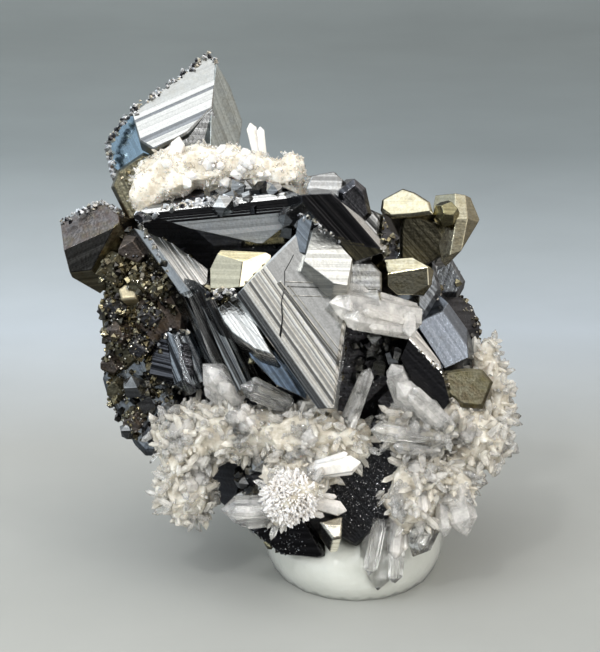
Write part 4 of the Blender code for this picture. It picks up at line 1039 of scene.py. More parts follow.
def as_object(name, mesh, material):
    """A finished mesh as an object."""
    data = bpy.data.meshes.new(name)
    mesh.to_mesh(data)
    mesh.free()
    data.materials.append(material)
    return add_object(name, data)


def make_piece(name, solids, material):
    """One piece of solids that grew through each other."""
    mesh = empty_piece()
    for solid in solids:
        solid.add_to(mesh)
    return as_object(name, mesh, material)


# A grain strays this far from its edge, and this many planes cut it. Its radii are shares of its size.
GRAIN_STRAY = 0.12
GRAIN_CUTS = 9
GRAIN_RADII = (0.6, 1.3)


def edge_grains(path, count, small, large, seed):
    """Tiny lumps along the edges that run through the corners of path, count to the millimetre."""
    chance = random.Random(seed)
    lumps = []
    for start, end in zip(path, path[1:]):
        for _ in range(int(count * math.dist(start, end))):
            share = chance.random()
            spot = [a + (b - a) * share + chance.gauss(0.0, GRAIN_STRAY) for a, b in zip(start, end)]
            size = chance.uniform(small, large)
            radii = [size * chance.uniform(*GRAIN_RADII) for _ in range(3)]
            lump = Boulder(spot, radii, GRAIN_CUTS, chance.random())
            lump.edge = 0.0
            lumps.append(lump.dressed(chance.choice(GLINTS)))
    return lumps


# A knob on a lump: its least and most radius, its cuts, how deep it sits, and how far it strays
KNOB_RADII = (0.5, 1.1)
KNOB_CUTS = 12
KNOB_DEPTH = 0.45
KNOB_STRAY = 0.4


def knobs(lumps, count, seed):
    """The lumps, and smaller ones that bulge out of them, count from each."""
    chance = random.Random(seed)
    grown = []
    for lump in lumps:
        grown.append(lump)
        for _ in range(count):
            point, outward = lump.faces[chance.randrange(len(lump.faces))]
            knob = Boulder((0.0, 0.0, 0.0), [chance.uniform(*KNOB_RADII)] * 3, KNOB_CUTS, chance.random())
            stray = Vector([chance.gauss(0.0, KNOB_STRAY) for _ in range(3)])
            shift = point - outward * KNOB_DEPTH + stray - knob.middle
            knob.faces = [(place + shift, way) for place, way in knob.faces]
            knob.middle = knob.middle + shift
            grown.append(knob.dressed(lump.finish))
    return grown


def paint_faces(data, **values):
    """Gives each face of a mesh the same values: colours of four parts, and directions of three."""
    for key, value in values.items():
        old = data.attributes.get(key)
        if old:
            data.attributes.remove(old)
        kind, part = ("FLOAT_COLOR", "color") if len(value) == 4 else ("FLOAT_VECTOR", "vector")
        layer = data.attributes.new(key, kind, "FACE")
        layer.data.foreach_set(part, list(value) * len(data.polygons))


def add_object(name, data):
    """A mesh as an object of the scene."""
    thing = bpy.data.objects.new(name, data)
    bpy.context.scene.collection.objects.link(thing)
    return thing


def as_plain_mesh(thing):
    """What an object's modifiers make of it, as a mesh, in place of the object."""
    view = bpy.context.evaluated_depsgraph_get()
    data = bpy.data.meshes.new_from_object(thing.evaluated_get(view), depsgraph=view)
    bpy.data.objects.remove(thing)
    return data


# The swells of a crust, as (how many to the millimetre, how high), and how far it shrinks first
SWELLS = ((0.9, 0.16), (2.3, 0.08))
SHRUNK = 0.12
NO_GRAIN = (0.0, 0.0, 1.0)


def make_crust(name, lumps, material, clouded, voxel=0.26):
    """Lumps melted into one sugary skin."""
    thing = make_piece(name, lumps, material)
    remesh = thing.modifiers.new("melt", "REMESH")
    remesh.mode = "VOXEL"
    remesh.voxel_size = voxel * MM
    smooth = thing.modifiers.new("smooth", "SMOOTH")
    smooth.iterations = 2
    data = as_plain_mesh(thing)
    mesh = bmesh.new()
    mesh.from_mesh(data)
    mesh.normal_update()
    for vertex in mesh.verts:
        place = vertex.co / MM
        swell = sum(mathnoise.noise(place * scale) * height for scale, height in SWELLS)
        vertex.co += vertex.normal * (swell - SHRUNK) * MM
    mesh.to_mesh(data)
    mesh.free()
    data.materials.clear()
    data.materials.append(material)
    paint_faces(data, tint=(*clouded, 1.0), grain=NO_GRAIN)
    return add_object(name, data)


# The share of a prism's width that a young one has
YOUNG = 0.5


def with_young(prisms, count, seed):
    """The prisms, and count thinner ones that grew along each."""
    chance = random.Random(seed)
    grown = list(prisms)
    for prism in prisms:
        grown += [prism.beside(chance, YOUNG) for _ in range(count)]
    return grown


# A seed crystal narrows to this share, every other one of its sides has a point longer by this
# share, and its tip lies this far off its axis, in widths.
SEED_TAPER = 0.94
SEED_JAG = 0.3
SEED_TIP = (0.04, 0.02)


def seed_crystal(name, width, length, point, sides=6):
    """A small crystal that stands on its root at the origin."""
    width, length, point = width * MM, length * MM, point * MM
    shape = bmesh.new()
    lower = []
    upper = []
    for k in range(sides):
        turn = 2.0 * math.pi * k / sides
        spot = Vector((math.cos(turn), math.sin(turn), 0.0)) * width / 2.0
        lower.append(shape.verts.new(spot))
        shoulder = length - point * (1.0 + SEED_JAG * (k % 2))
        upper.append(shape.verts.new(spot * SEED_TAPER + Vector((0.0, 0.0, shoulder))))
    tip = shape.verts.new((SEED_TIP[0] * width, SEED_TIP[1] * width, length))
    shape.faces.new(lower[::-1])
    for k in range(sides):
        after = (k + 1) % sides
        shape.faces.new((lower[k], lower[after], upper[after], upper[k]))
        shape.faces.new((upper[k], upper[after], tip))
    bmesh.ops.recalc_face_normals(shape, faces=shape.faces)
    data = bpy.data.meshes.new(name)
    shape.to_mesh(data)
    shape.free()
    return bpy.data.objects.new(name, data)


def add_node(tree, kind, **settings):
    """A new node of a tree, with its settings."""
    node = tree.nodes.new(kind)
    for key, value in settings.items():
        setattr(node, key, value)
    return node


SCATTER_INPUTS = (
    ("Crystal", "NodeSocketObject"), ("Density", "NodeSocketFloat"), ("Small", "NodeSocketFloat"),
    ("Large", "NodeSocketFloat"), ("Lean", "NodeSocketFloat"), ("Seed", "NodeSocketInt"),
    ("Dark", "NodeSocketColor"), ("Light", "NodeSocketColor"), ("Material", "NodeSocketMaterial"),
)


# Seeds of the turns, the sizes and the tints of the small crystals
TURN_SEED, SIZE_SEED, TINT_SEED = 5, 9, 13
FULL_TURN = 6.283


def crust_tree():
    """Geometry nodes that grow small crystals on a surface, as many as its attribute crust says.

    A random number has its least and most value in sockets 2 and 3, and comes out of socket 1.
    """
    tree = bpy.data.node_groups.new("crust", "GeometryNodeTree")
    tree.interface.new_socket("Surface", in_out="INPUT", socket_type="NodeSocketGeometry")
    for name, kind in SCATTER_INPUTS:
        tree.interface.new_socket(name, in_out="INPUT", socket_type=kind)
    tree.interface.new_socket("Crystals", in_out="OUTPUT", socket_type="NodeSocketGeometry")
    given = add_node(tree, "NodeGroupInput").outputs
    crust = add_node(tree, "GeometryNodeInputNamedAttribute", data_type="FLOAT")
    crust.inputs["Name"].default_value = "crust"
    density = add_node(tree, "ShaderNodeMath", operation="MULTIPLY")
    points = add_node(tree, "GeometryNodeDistributePointsOnFaces", distribute_method="RANDOM")
    info = add_node(tree, "GeometryNodeObjectInfo")
    wander = add_node(tree, "FunctionNodeRandomValue", data_type="FLOAT_VECTOR")
    wander.inputs[0].default_value = (-1.0, -1.0, -1.0)
    wander.inputs[1].default_value = (1.0, 1.0, 1.0)
    leaning = add_node(tree, "ShaderNodeVectorMath", operation="SCALE")
    outward = add_node(tree, "ShaderNodeVectorMath", operation="ADD")
    stand = add_node(tree, "FunctionNodeAlignRotationToVector", axis="Z")
    angle = add_node(tree, "FunctionNodeRandomValue", data_type="FLOAT")
    angle.inputs[3].default_value = FULL_TURN
    angle.inputs["Seed"].default_value = TURN_SEED
    spin = add_node(tree, "FunctionNodeAxisAngleToRotation")
    turned = add_node(tree, "FunctionNodeRotateRotation", rotation_space="LOCAL")
    size = add_node(tree, "FunctionNodeRandomValue", data_type="FLOAT")
    size.inputs["Seed"].default_value = SIZE_SEED
    grown = add_node(tree, "GeometryNodeInstanceOnPoints")
    share = add_node(tree, "FunctionNodeRandomValue", data_type="FLOAT")
    share.inputs["Seed"].default_value = TINT_SEED
    colour = add_node(tree, "ShaderNodeMix", data_type="RGBA")
    stored = add_node(tree, "GeometryNodeStoreNamedAttribute", data_type="FLOAT_COLOR", domain="INSTANCE")
    stored.inputs["Name"].default_value = "tint"
    real = add_node(tree, "GeometryNodeRealizeInstances")
    finish = add_node(tree, "GeometryNodeSetMaterial")
    out = add_node(tree, "NodeGroupOutput")
    link = tree.links.new
    link(given["Surface"], points.inputs["Mesh"])
    link(given["Density"], density.inputs[0])
    link(crust.outputs["Attribute"], density.inputs[1])
    link(density.outputs[0], points.inputs["Density"])
    link(given["Seed"], points.inputs["Seed"])
    link(given["Crystal"], info.inputs["Object"])
    link(wander.outputs[0], leaning.inputs[0])
    link(given["Lean"], leaning.inputs["Scale"])
    link(points.outputs["Normal"], outward.inputs[0])
    link(leaning.outputs[0], outward.inputs[1])
    link(outward.outputs[0], stand.inputs["Vector"])
    link(angle.outputs[1], spin.inputs["Angle"])
    link(stand.outputs["Rotation"], turned.inputs["Rotation"])
    link(spin.outputs["Rotation"], turned.inputs["Rotate By"])
    link(given["Small"], size.inputs[2])
    link(given["Large"], size.inputs[3])
    link(points.outputs["Points"], grown.inputs["Points"])
    link(info.outputs["Geometry"], grown.inputs["Instance"])
    link(turned.outputs["Rotation"], grown.inputs["Rotation"])
    link(size.outputs[1], grown.inputs["Scale"])
    link(share.outputs[1], colour.inputs[0])
    link(given["Dark"], colour.inputs[6])
    link(given["Light"], colour.inputs[7])
    link(grown.outputs["Instances"], stored.inputs["Geometry"])
    link(colour.outputs[2], stored.inputs["Value"])
    link(stored.outputs["Geometry"], real.inputs["Geometry"])
    link(real.outputs["Geometry"], finish.inputs["Geometry"])
    link(given["Material"], finish.inputs["Material"])
    link(finish.outputs["Geometry"], out.inputs["Crystals"])
    return tree


def finely_cut(node, longest, rounds):
    """A copy of a node's surface with its edges halved, so many times, where they are longer."""
    mesh = bmesh.new()
    mesh.from_mesh(node.data)
    bmesh.ops.remove_doubles(mesh, verts=mesh.verts, dist=1e-6)
    for _ in range(rounds):
        long = [edge for edge in mesh.edges if edge.calc_length() > longest * MM]
        if long:
            bmesh.ops.subdivide_edges(mesh, edges=long, cuts=1)
            bmesh.ops.triangulate(mesh, faces=[face for face in mesh.faces if len(face.verts) > 3])
    return mesh


def host_of(node, crust):
    """A copy of a surface, with the attribute crust from a function of place and outward."""
    mesh = finely_cut(node, longest=1.1, rounds=3)
    mesh.normal_update()
    layer = mesh.verts.layers.float.new("crust")
    for vertex in mesh.verts:
        vertex[layer] = crust(vertex.co / MM, vertex.normal)
    data = bpy.data.meshes.new("host")
    mesh.to_mesh(data)
    mesh.free()
    return add_object("host", data)


def grow_crust(name, node, crust, crystal, growth, seed, tints, material, surface=(0.1, 0.15, 0.15, 0.2)):
    """Small crystals on a surface, as one plain mesh.

    growth is how many there are to the square millimetre, the smallest and the largest, in sizes
    of the crystal, and how far they lean. tints are the darkest and the lightest.
    """
    density, small, large, lean = growth
    dark, light = tints
    host = host_of(node, crust)
    modifier = host.modifiers.new("crust", "NODES")
    modifier.node_group = CRUST_NODES
    values = {
        "Crystal": crystal, "Density": density / MM ** 2, "Small": small, "Large": large, "Lean": lean,
        "Seed": seed, "Dark": (*dark, 1.0), "Light": (*light, 1.0), "Material": material,
    }
    for socket in CRUST_NODES.interface.items_tree:
        if socket.name in values:
            modifier[socket.identifier] = values[socket.name]
    data = as_plain_mesh(host)
    data.name = name
    paint_faces(data, surface=surface, grain=NO_GRAIN)
    return add_object(name, data)


def on_view(place):
    """Where a place shows from the display side, as (right, up, near)."""
    offset = place - MIDDLE
    near = offset.dot(NEAR)
    grown = 1.0 / (1.0 - near / EYE_DISTANCE)
    return offset.dot(RIGHT) * grown, offset.dot(UP) * grown, near


def by_tuft(place, radius=TUFT_RADIUS):
    """Whether a place shows within radius of the middle of the white tuft."""
    right, up, near = on_view(place)
    return near > 0.0 and math.hypot(right - TUFT[0], up - TUFT[1]) < radius


def everywhere(place, outward):
    """The crust function of a surface that is covered all over."""
    return 1.0


def on_tuft(place, outward):
    """The crust function of a surface that is covered on the white tuft alone."""
    return 1.0 if by_tuft(place) else 0.0


def off_tuft(place, outward):
    """The crust function of a surface that is covered everywhere but on the white tuft."""
    return 0.0 if by_tuft(place) else 1.0


# What lies further back than this, or faces away more than this, belongs to the back of the
# specimen. Above this height is the crown, with this share of what covers the rest of the back.
BACK_NEAR = -4.0
BACK_FACING = -0.3
CROWN_FOOT = 9.0
CROWN_SHARE = 0.15


def crust_in(zones, behind=0.0):
    """The crust function of a surface with zones on the display side, and with behind on the back."""
    def crust(place, outward):
        """How much of the crust there is at a place."""
        right, up, near = on_view(place)
        if near < BACK_NEAR or outward.dot(NEAR) < BACK_FACING:
            return behind if up < CROWN_FOOT else CROWN_SHARE * behind
        amount = 0.0
        for middle_right, middle_up, radius, most in zones:
            away = math.hypot(right - middle_right, up - middle_up) / radius
            amount = max(amount, most * max(0.0, min(1.0, 2.0 * (1.0 - away))))
        return amount
    return crust


def start_material(name):
    """A material with its tree, its shader and its place in millimetres, ready for its nodes."""
    material = bpy.data.materials.new(name)
    material.use_nodes = True
    tree = material.node_tree
    shader = tree.nodes["Principled BSDF"]
    where = add_node(tree, "ShaderNodeTexCoord")
    place = add_node(tree, "ShaderNodeVectorMath", operation="SCALE")
    place.inputs["Scale"].default_value = 1.0 / MM
    tree.links.new(where.outputs["Object"], place.inputs[0])
    return material, tree, shader, place.outputs[0]


def noise(tree, place, scale, detail=3.0, rough=0.55):
    """Clouds, scale of them to the millimetre."""
    node = add_node(tree, "ShaderNodeTexNoise")
    node.inputs["Scale"].default_value = scale
    node.inputs["Detail"].default_value = detail
    node.inputs["Roughness"].default_value = rough
    tree.links.new(place, node.inputs["Vector"])
    return node.outputs["Fac"]


def lines(tree, phase, scale, detail):
    """Fine lines of uneven widths across a face."""
    node = add_node(tree, "ShaderNodeTexNoise", noise_dimensions="1D")
    node.inputs["Scale"].default_value = scale
    node.inputs["Detail"].default_value = detail
    node.inputs["Roughness"].default_value = 0.6
    tree.links.new(phase, node.inputs["W"])
    return node.outputs["Fac"]


def maths(tree, operation, one, two=None, three=None, clamp=False):
    """One step of arithmetic on numbers or sockets."""
    node = add_node(tree, "ShaderNodeMath", operation=operation, use_clamp=clamp)
    for socket, value in zip(node.inputs, (one, two, three)):
        if isinstance(value, (int, float)):
            socket.default_value = value
        elif value is not None:
            tree.links.new(value, socket)
    return node.outputs[0]


def spread(tree, value, low, high, to_low, to_high):
    """A value moved from the range low to high to another range, and kept inside it."""
    node = add_node(tree, "ShaderNodeMapRange")
    tree.links.new(value, node.inputs["Value"])
    for name, number in (("From Min", low), ("From Max", high), ("To Min", to_low), ("To Max", to_high)):
        node.inputs[name].default_value = number
    return node.outputs[0]


def blend(tree, share, one, two, kind="MIX"):
    """One colour mixed with another."""
    node = add_node(tree, "ShaderNodeMix", data_type="RGBA", blend_type=kind)
    for socket, value in zip((node.inputs[0], node.inputs[6], node.inputs[7]), (share, one, two)):
        if isinstance(value, (int, float)):
            socket.default_value = value
        elif isinstance(value, tuple):
            socket.default_value = (*value, 1.0)
        else:
            tree.links.new(value, socket)
    return node.outputs[2]


def ramp(tree, value, stops):
    """Colours by value, from stops (value, colour)."""
    node = add_node(tree, "ShaderNodeValToRGB")
    tree.links.new(value, node.inputs[0])
    elements = node.color_ramp.elements
    for element, (position, colour) in zip(elements, (stops[0], stops[-1])):
        element.position = position
        element.color = (*colour, 1.0)
    for position, colour in stops[1:-1]:
        element = elements.new(position)
        element.color = (*colour, 1.0)
    return node.outputs["Color"]


def bumpy(tree, shader, high, depth):
    """Lets a height of 0 to 1 stand out of a material's surface by depth, in millimetres."""
    bump = add_node(tree, "ShaderNodeBump")
    bump.inputs["Distance"].default_value = depth * MM
    tree.links.new(high, bump.inputs["Height"])
    tree.links.new(bump.outputs["Normal"], shader.inputs["Normal"])


def across_lines(tree, place):
    """How far a place lies across the fine lines of its face, in millimetres."""
    grain = add_node(tree, "ShaderNodeAttribute", attribute_name="grain").outputs["Vector"]
    across = add_node(tree, "ShaderNodeVectorMath", operation="DOT_PRODUCT")
    tree.links.new(place, across.inputs[0])
    tree.links.new(grain, across.inputs[1])
    return across.outputs["Value"]


# How many of each the metallic minerals show to the millimetre
WAVES = 0.45
COARSE_LINES = 2.6
FINE_LINES = 11.0
SPECKLES = 5.5
PITS = 4.2
STAIN_COLOURS = 0.9
STAINS = 1.7


def metal_finish(name, stains):
    """A metallic mineral: fine growth lines with painted light and dark stripes along them, pits and tarnish,
    as strong as each face says.
    """
    material, tree, shader, place = start_material(name)
    tint = add_node(tree, "ShaderNodeAttribute", attribute_name="tint").outputs["Color"]
    surface = add_node(tree, "ShaderNodeAttribute", attribute_name="surface")
    parts = add_node(tree, "ShaderNodeSeparateColor")
    tree.links.new(surface.outputs["Color"], parts.inputs[0])
    groove_and_painted_stripes, rough, pitted = parts.outputs[0], parts.outputs[1], parts.outputs[2]
    stain = surface.outputs["Alpha"]
    broad = noise(tree, place, WAVES, 3.0)
    phase = maths(tree, "MULTIPLY_ADD", broad, 0.12, across_lines(tree, place))
    coarse = lines(tree, phase, COARSE_LINES, 4.0)
    fine = lines(tree, phase, FINE_LINES, 3.0)
    speckle = noise(tree, place, SPECKLES, 8.0, 0.7)
    cells = add_node(tree, "ShaderNodeTexVoronoi")
    cells.inputs["Scale"].default_value = PITS
    tree.links.new(place, cells.inputs["Vector"])
    pits = cells.outputs["Distance"]
    ridge = maths(tree, "MULTIPLY_ADD", fine, 0.25, coarse)
    high = maths(tree, "MULTIPLY", ridge, groove_and_painted_stripes)
    crumble = maths(tree, "MULTIPLY_ADD", pits, 0.8, maths(tree, "MULTIPLY", speckle, 0.7))
    high = maths(tree, "MULTIPLY_ADD", crumble, pitted, high)
    bumpy(tree, shader, maths(tree, "MULTIPLY_ADD", broad, 0.35, high), 0.05)
    shade = spread(tree, speckle, 0.3, 0.7, 0.78, 1.12)
    colour = blend(tree, 1.0, tint, shade, "MULTIPLY")
    # Painted light and dark stripes along the coarse lines, as strong as groove says, darken or lighten the
    # colour.
    stripes = blend(tree, groove_and_painted_stripes, (1.0, 1.0, 1.0), spread(tree, coarse, 0.42, 0.60, 0.04, 1.30))
    colour = blend(tree, 1.0, colour, stripes, "MULTIPLY")
    tarnish = ramp(tree, noise(tree, place, STAIN_COLOURS, 4.0, 0.6), stains)
    cover = spread(tree, noise(tree, place, STAINS, 5.0, 0.65), 0.38, 0.62, 0.0, 1.0)
    cover = maths(tree, "MULTIPLY", cover, stain)
    colour = blend(tree, cover, colour, blend(tree, 1.0, colour, tarnish, "MULTIPLY"))
    tree.links.new(colour, shader.inputs["Base Color"])
    dull = maths(tree, "MULTIPLY_ADD", pitted, 0.16, rough)
    dull = maths(tree, "MULTIPLY_ADD", speckle, 0.10, maths(tree, "SUBTRACT", dull, 0.05), clamp=True)
    tree.links.new(dull, shader.inputs["Roughness"])
    shader.inputs["Metallic"].default_value = 1.0
    return material


# The clouds, the roughness and the lines of the quartz, to the millimetre, and its colours
QUARTZ_CLOUDS = 0.8
QUARTZ_GRIT = 6.0
QUARTZ_LINES = 5.0
QUARTZ_GLASS = (0.97, 0.965, 0.94)
QUARTZ_CREAM = ((0.34, (0.70, 0.61, 0.46)), (0.50, (0.82, 0.76, 0.64)), (0.66, (0.92, 0.89, 0.81)))
QUARTZ_SNOW = (0.98, 0.93, 0.87)
QUARTZ_IOR = 1.545


def quartz_finish(name, rough, depth, white):
    """Quartz: glassy where it is clear, and creamy where it is milky, or snowy where white is 1."""
    material, tree, shader, place = start_material(name)
    tint = add_node(tree, "ShaderNodeAttribute", attribute_name="tint").outputs["Fac"]
    clouds = noise(tree, place, QUARTZ_CLOUDS, 5.0, 0.65)
    fine = noise(tree, place, QUARTZ_GRIT, 5.0, 0.6)
    clouded = maths(tree, "ADD", tint, spread(tree, clouds, 0.30, 0.70, -0.20, 0.20), clamp=True)
    cream = ramp(tree, clouds, [
        (at, [part + (most - part) * white for part, most in zip(colour, QUARTZ_SNOW)])
        for at, colour in QUARTZ_CREAM
    ])
    colour = blend(tree, spread(tree, clouded, 0.15, 0.6, 0.0, 1.0), QUARTZ_GLASS, cream)
    tree.links.new(colour, shader.inputs["Base Color"])
    shader.inputs["IOR"].default_value = QUARTZ_IOR
    tree.links.new(spread(tree, clouded, 0.0, 1.0, 0.97, 0.0), shader.inputs["Transmission Weight"])
    tree.links.new(spread(tree, clouded, 0.5, 1.0, 0.0, 0.6), shader.inputs["Subsurface Weight"])
    shader.inputs["Subsurface Radius"].default_value = (1.0, 0.85, 0.68)
    shader.inputs["Subsurface Scale"].default_value = 0.9 * MM
    tree.links.new(spread(tree, fine, 0.3, 0.7, rough, rough + 0.12), shader.inputs["Roughness"])
    ridges = lines(tree, across_lines(tree, place), QUARTZ_LINES, 3.0)
    bumpy(tree, shader, maths(tree, "MULTIPLY_ADD", ridges, 0.6, fine), depth)
    return material


def putty_finish():
    """White mounting putty: smooth, with soft hollows and a little light inside it."""
    material, tree, shader, place = start_material("mounting_putty")
    clouds = noise(tree, place, 0.25, 3.0)
    fine = noise(tree, place, 3.0, 4.0)
    colour = ramp(tree, clouds, ((0.35, (0.47, 0.48, 0.43)), (0.65, (0.55, 0.56, 0.51))))
    tree.links.new(colour, shader.inputs["Base Color"])
    tree.links.new(spread(tree, fine, 0.3, 0.7, 0.12, 0.24), shader.inputs["Roughness"])
    shader.inputs["Subsurface Weight"].default_value = 0.35
    shader.inputs["Subsurface Radius"].default_value = (0.9, 0.8, 0.75)
    shader.inputs["Subsurface Scale"].default_value = 1.2 * MM
    shader.inputs["Coat Weight"].default_value = 0.5
    shader.inputs["Coat Roughness"].default_value = 0.06
    bumpy(tree, shader, maths(tree, "MULTIPLY_ADD", clouds, 5.0, fine), 0.03)
    return material


# What lies lower than this is the putty's foot, and stays flat.
PUTTY_FOOT = 0.02
PUTTY_ROUNDS = 6


def make_putty(node, material):
    """The pad and its heel, smoothed over."""
    mesh = finely_cut(node, longest=0.9, rounds=2)
    for _ in range(PUTTY_ROUNDS):
        free = [vertex for vertex in mesh.verts if vertex.co.z > PUTTY_FOOT * MM]
        bmesh.ops.smooth_vert(mesh, verts=free, factor=0.5, use_axis_x=True, use_axis_y=True, use_axis_z=True)
    thing = as_object("putty", mesh, material)
    thing.data.shade_smooth()
    return thing


def make_camera():
    """The camera at the photograph's viewing angle."""
    data = bpy.data.cameras.new("camera")
    data.sensor_width = SENSOR
    data.lens = SENSOR * EYE_DISTANCE / (PICTURE_HEIGHT * PIXEL)
    data.clip_start = 0.01
    data.clip_end = 10.0
    camera = bpy.data.objects.new("camera", data)
    camera.location = EYE * MM
    camera.rotation_euler = NEAR.to_track_quat("Z", "Y").to_euler()
    bpy.context.scene.collection.objects.link(camera)
    bpy.context.scene.camera = camera


# The sweep in metres: where its floor starts and ends, the radius of its bend, its top, its half
# width, how far it lies under the specimen, and how many flat strips make the bend
FLOOR_FRONT, FLOOR_BACK, BEND, SWEEP_TOP, SWEEP_SIDE, SWEEP_GAP = -0.6, 0.27, 0.12, 0.9, 0.9, 0.00002
BEND_STRIPS = 12
# Its colours, by how far back and up a place of it lies, from SWEEP_NEAR to SWEEP_FAR millimetres: painted
# light that brightens to a pale bluish band and then darkens towards the top
SWEEP_NEAR, SWEEP_FAR = -40.0, 260.0
SWEEP_COLOURS = (
    (0.10, (0.375, 0.38, 0.355)), (0.214, (0.435, 0.44, 0.415)), (0.341, (0.455, 0.50, 0.535)),
    (0.439, (0.385, 0.425, 0.443)), (0.647, (0.225, 0.255, 0.26)), (0.939, (0.197, 0.22, 0.217)),
)


def make_stage():
    """A pale floor that curves up into a backdrop, coloured with painted light that changes as it goes back
    and up, and painted shade to the right.
    """
    profile = [(FLOOR_FRONT, 0.0)]
    for k in range(BEND_STRIPS + 1):
        turn = math.pi / 2.0 * k / BEND_STRIPS
        profile.append((FLOOR_BACK + BEND * math.sin(turn), BEND * (1.0 - math.cos(turn))))
    profile.append((FLOOR_BACK + BEND, SWEEP_TOP))
    mesh = bmesh.new()
    rows = [
        [mesh.verts.new((side, y, z - SWEEP_GAP)) for y, z in profile]
        for side in (-SWEEP_SIDE, SWEEP_SIDE)
    ]
    for k in range(len(profile) - 1):
        mesh.faces.new((rows[0][k], rows[1][k], rows[1][k + 1], rows[0][k + 1]))
    material, tree, shader, place = start_material("sweep")
    split = add_node(tree, "ShaderNodeSeparateXYZ")
    tree.links.new(place, split.inputs[0])
    far = maths(tree, "ADD", split.outputs["Z"], split.outputs["Y"])
    colour = ramp(tree, spread(tree, far, SWEEP_NEAR, SWEEP_FAR, 0.0, 1.0), SWEEP_COLOURS)
    # A random mottle, and painted shade that darkens the sweep towards the right
    mottle = spread(tree, noise(tree, place, 0.05, 4.0), 0.3, 0.7, 0.96, 1.04)
    shade = maths(tree, "MULTIPLY", mottle, spread(tree, split.outputs["X"], -25.0, 25.0, 0.99, 0.87))
    tree.links.new(blend(tree, 1.0, colour, shade, "MULTIPLY"), shader.inputs["Base Color"])
    shader.inputs["Roughness"].default_value = 0.55
    sweep = as_object("sweep", mesh, material)
    sweep.data.shade_smooth()
    sweep.visible_glossy = False
    sweep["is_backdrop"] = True


# Light by height, from straight down at 0 to straight up at 1, as (height, light)
SKY_AHEAD = (
    (0.0, 0.08), (0.40, 0.14), (0.47, 0.34), (0.53, 0.34), (0.60, 0.08), (0.70, 0.03), (0.75, 0.30),
    (0.86, 0.95), (0.93, 2.0), (1.0, 1.2),
)
SKY_LEFT = ((0.0, 0.10), (0.40, 0.25), (0.52, 0.70), (0.62, 0.90), (0.75, 0.85), (0.88, 1.3), (1.0, 1.3))
SKY_RIGHT = ((0.0, 0.10), (0.40, 0.20), (0.55, 0.32), (0.64, 0.42), (0.75, 0.75), (0.88, 1.3), (1.0, 1.3))
# The left of the room is cooler than the right.
COOL = (0.90, 1.0, 1.10)
WARM = (1.06, 1.0, 0.94)
# A window: where its glow starts and is full, as the cosine of the angle off its middle, and its light
WINDOW_RIM, WINDOW_FULL, WINDOW_LIGHT = 0.92, 0.98, 1.25
# Lamps: (name, place in metres, size in metres, watts, whether the faces mirror it)
LAMPS = (
    ("overhead", (-0.10, -0.12, 0.42), 0.34, 0.30, True),
    ("left_fill", (-0.30, -0.38, 0.20), 0.45, 1.9, False),
    ("right_fill", (0.36, -0.34, 0.16), 0.45, 1.4, False),
    ("left_spark", (-0.12, -0.30, 0.36), 0.03, 0.30, True),
    ("right_spark", (0.26, -0.28, 0.22), 0.03, 0.12, True),
)


def sky(tree, level, stops):
    """Grey light by height."""
    return ramp(tree, level, [(position, (value, value, value)) for position, value in stops])


def mirrored_by(outward):
    """The direction that a face mirrors towards the viewer."""
    to_eye = (EYE - MIDDLE).normalized()
    return outward * (2.0 * outward.dot(to_eye)) - to_eye


def make_light():
    """Soft light from high and from both sides, and a dark room behind the viewer."""
    world = bpy.data.worlds.new("studio")
    bpy.context.scene.world = world
    world.use_nodes = True
    tree = world.node_tree
    where = add_node(tree, "ShaderNodeTexCoord")
    split = add_node(tree, "ShaderNodeSeparateXYZ")
    tree.links.new(where.outputs["Generated"], split.inputs[0])
    level = spread(tree, split.outputs["Z"], -1.0, 1.0, 0.0, 1.0)
    ahead = sky(tree, level, SKY_AHEAD)
    to_right = maths(tree, "GREATER_THAN", split.outputs["X"], 0.0)
    aside = blend(tree, to_right, sky(tree, level, SKY_LEFT), sky(tree, level, SKY_RIGHT))
    width = maths(tree, "ABSOLUTE", split.outputs["X"])
    glow = blend(tree, spread(tree, width, 0.24, 0.58, 0.0, 1.0), ahead, aside)
    leaning = spread(tree, split.outputs["X"], -0.7, 0.7, 0.0, 1.0)
    glow = blend(tree, 1.0, glow, blend(tree, leaning, COOL, WARM), "MULTIPLY")
    # The window that lights the bright face of the middle pyrite
    towards = add_node(tree, "ShaderNodeVectorMath", operation="DOT_PRODUCT")
    tree.links.new(where.outputs["Generated"], towards.inputs[0])
    towards.inputs[1].default_value = mirrored_by(PYRITE_MIDDLE[0].faces[1][1])
    window = spread(tree, towards.outputs["Value"], WINDOW_RIM, WINDOW_FULL, 0.0, WINDOW_LIGHT)
    glow = blend(tree, 1.0, glow, window, "ADD")
    background = tree.nodes["Background"]
    tree.links.new(glow, background.inputs["Color"])
    for name, place, size, power, mirrored in LAMPS:
        data = bpy.data.lights.new(name, "AREA")
        data.size = size
        data.energy = power
        lamp = bpy.data.objects.new(name, data)
        lamp.location = place
        lamp.rotation_euler = (Vector(place) - MIDDLE * MM).to_track_quat("Z", "Y").to_euler()
        lamp.visible_camera = False
        lamp.visible_glossy = mirrored
        bpy.context.scene.collection.objects.link(lamp)
    bpy.context.scene.view_settings.view_transform = "Standard"


def fit(piece, slot, *nodes):
    """The piece hangs from the root and stands for the parts named by nodes, which are hidden. slot is not
    used.
    """
    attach(piece, "root")
    if nodes:
        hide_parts(*nodes)


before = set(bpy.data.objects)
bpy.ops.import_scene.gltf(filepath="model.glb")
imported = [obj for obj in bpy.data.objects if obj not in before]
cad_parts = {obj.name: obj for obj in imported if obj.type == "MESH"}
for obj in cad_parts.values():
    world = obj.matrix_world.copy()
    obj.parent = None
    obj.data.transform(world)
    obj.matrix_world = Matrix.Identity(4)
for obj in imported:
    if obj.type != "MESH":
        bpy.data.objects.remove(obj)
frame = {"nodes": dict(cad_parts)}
solids_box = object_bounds()
nodes = frame["nodes"]
CRUST_NODES = crust_tree()

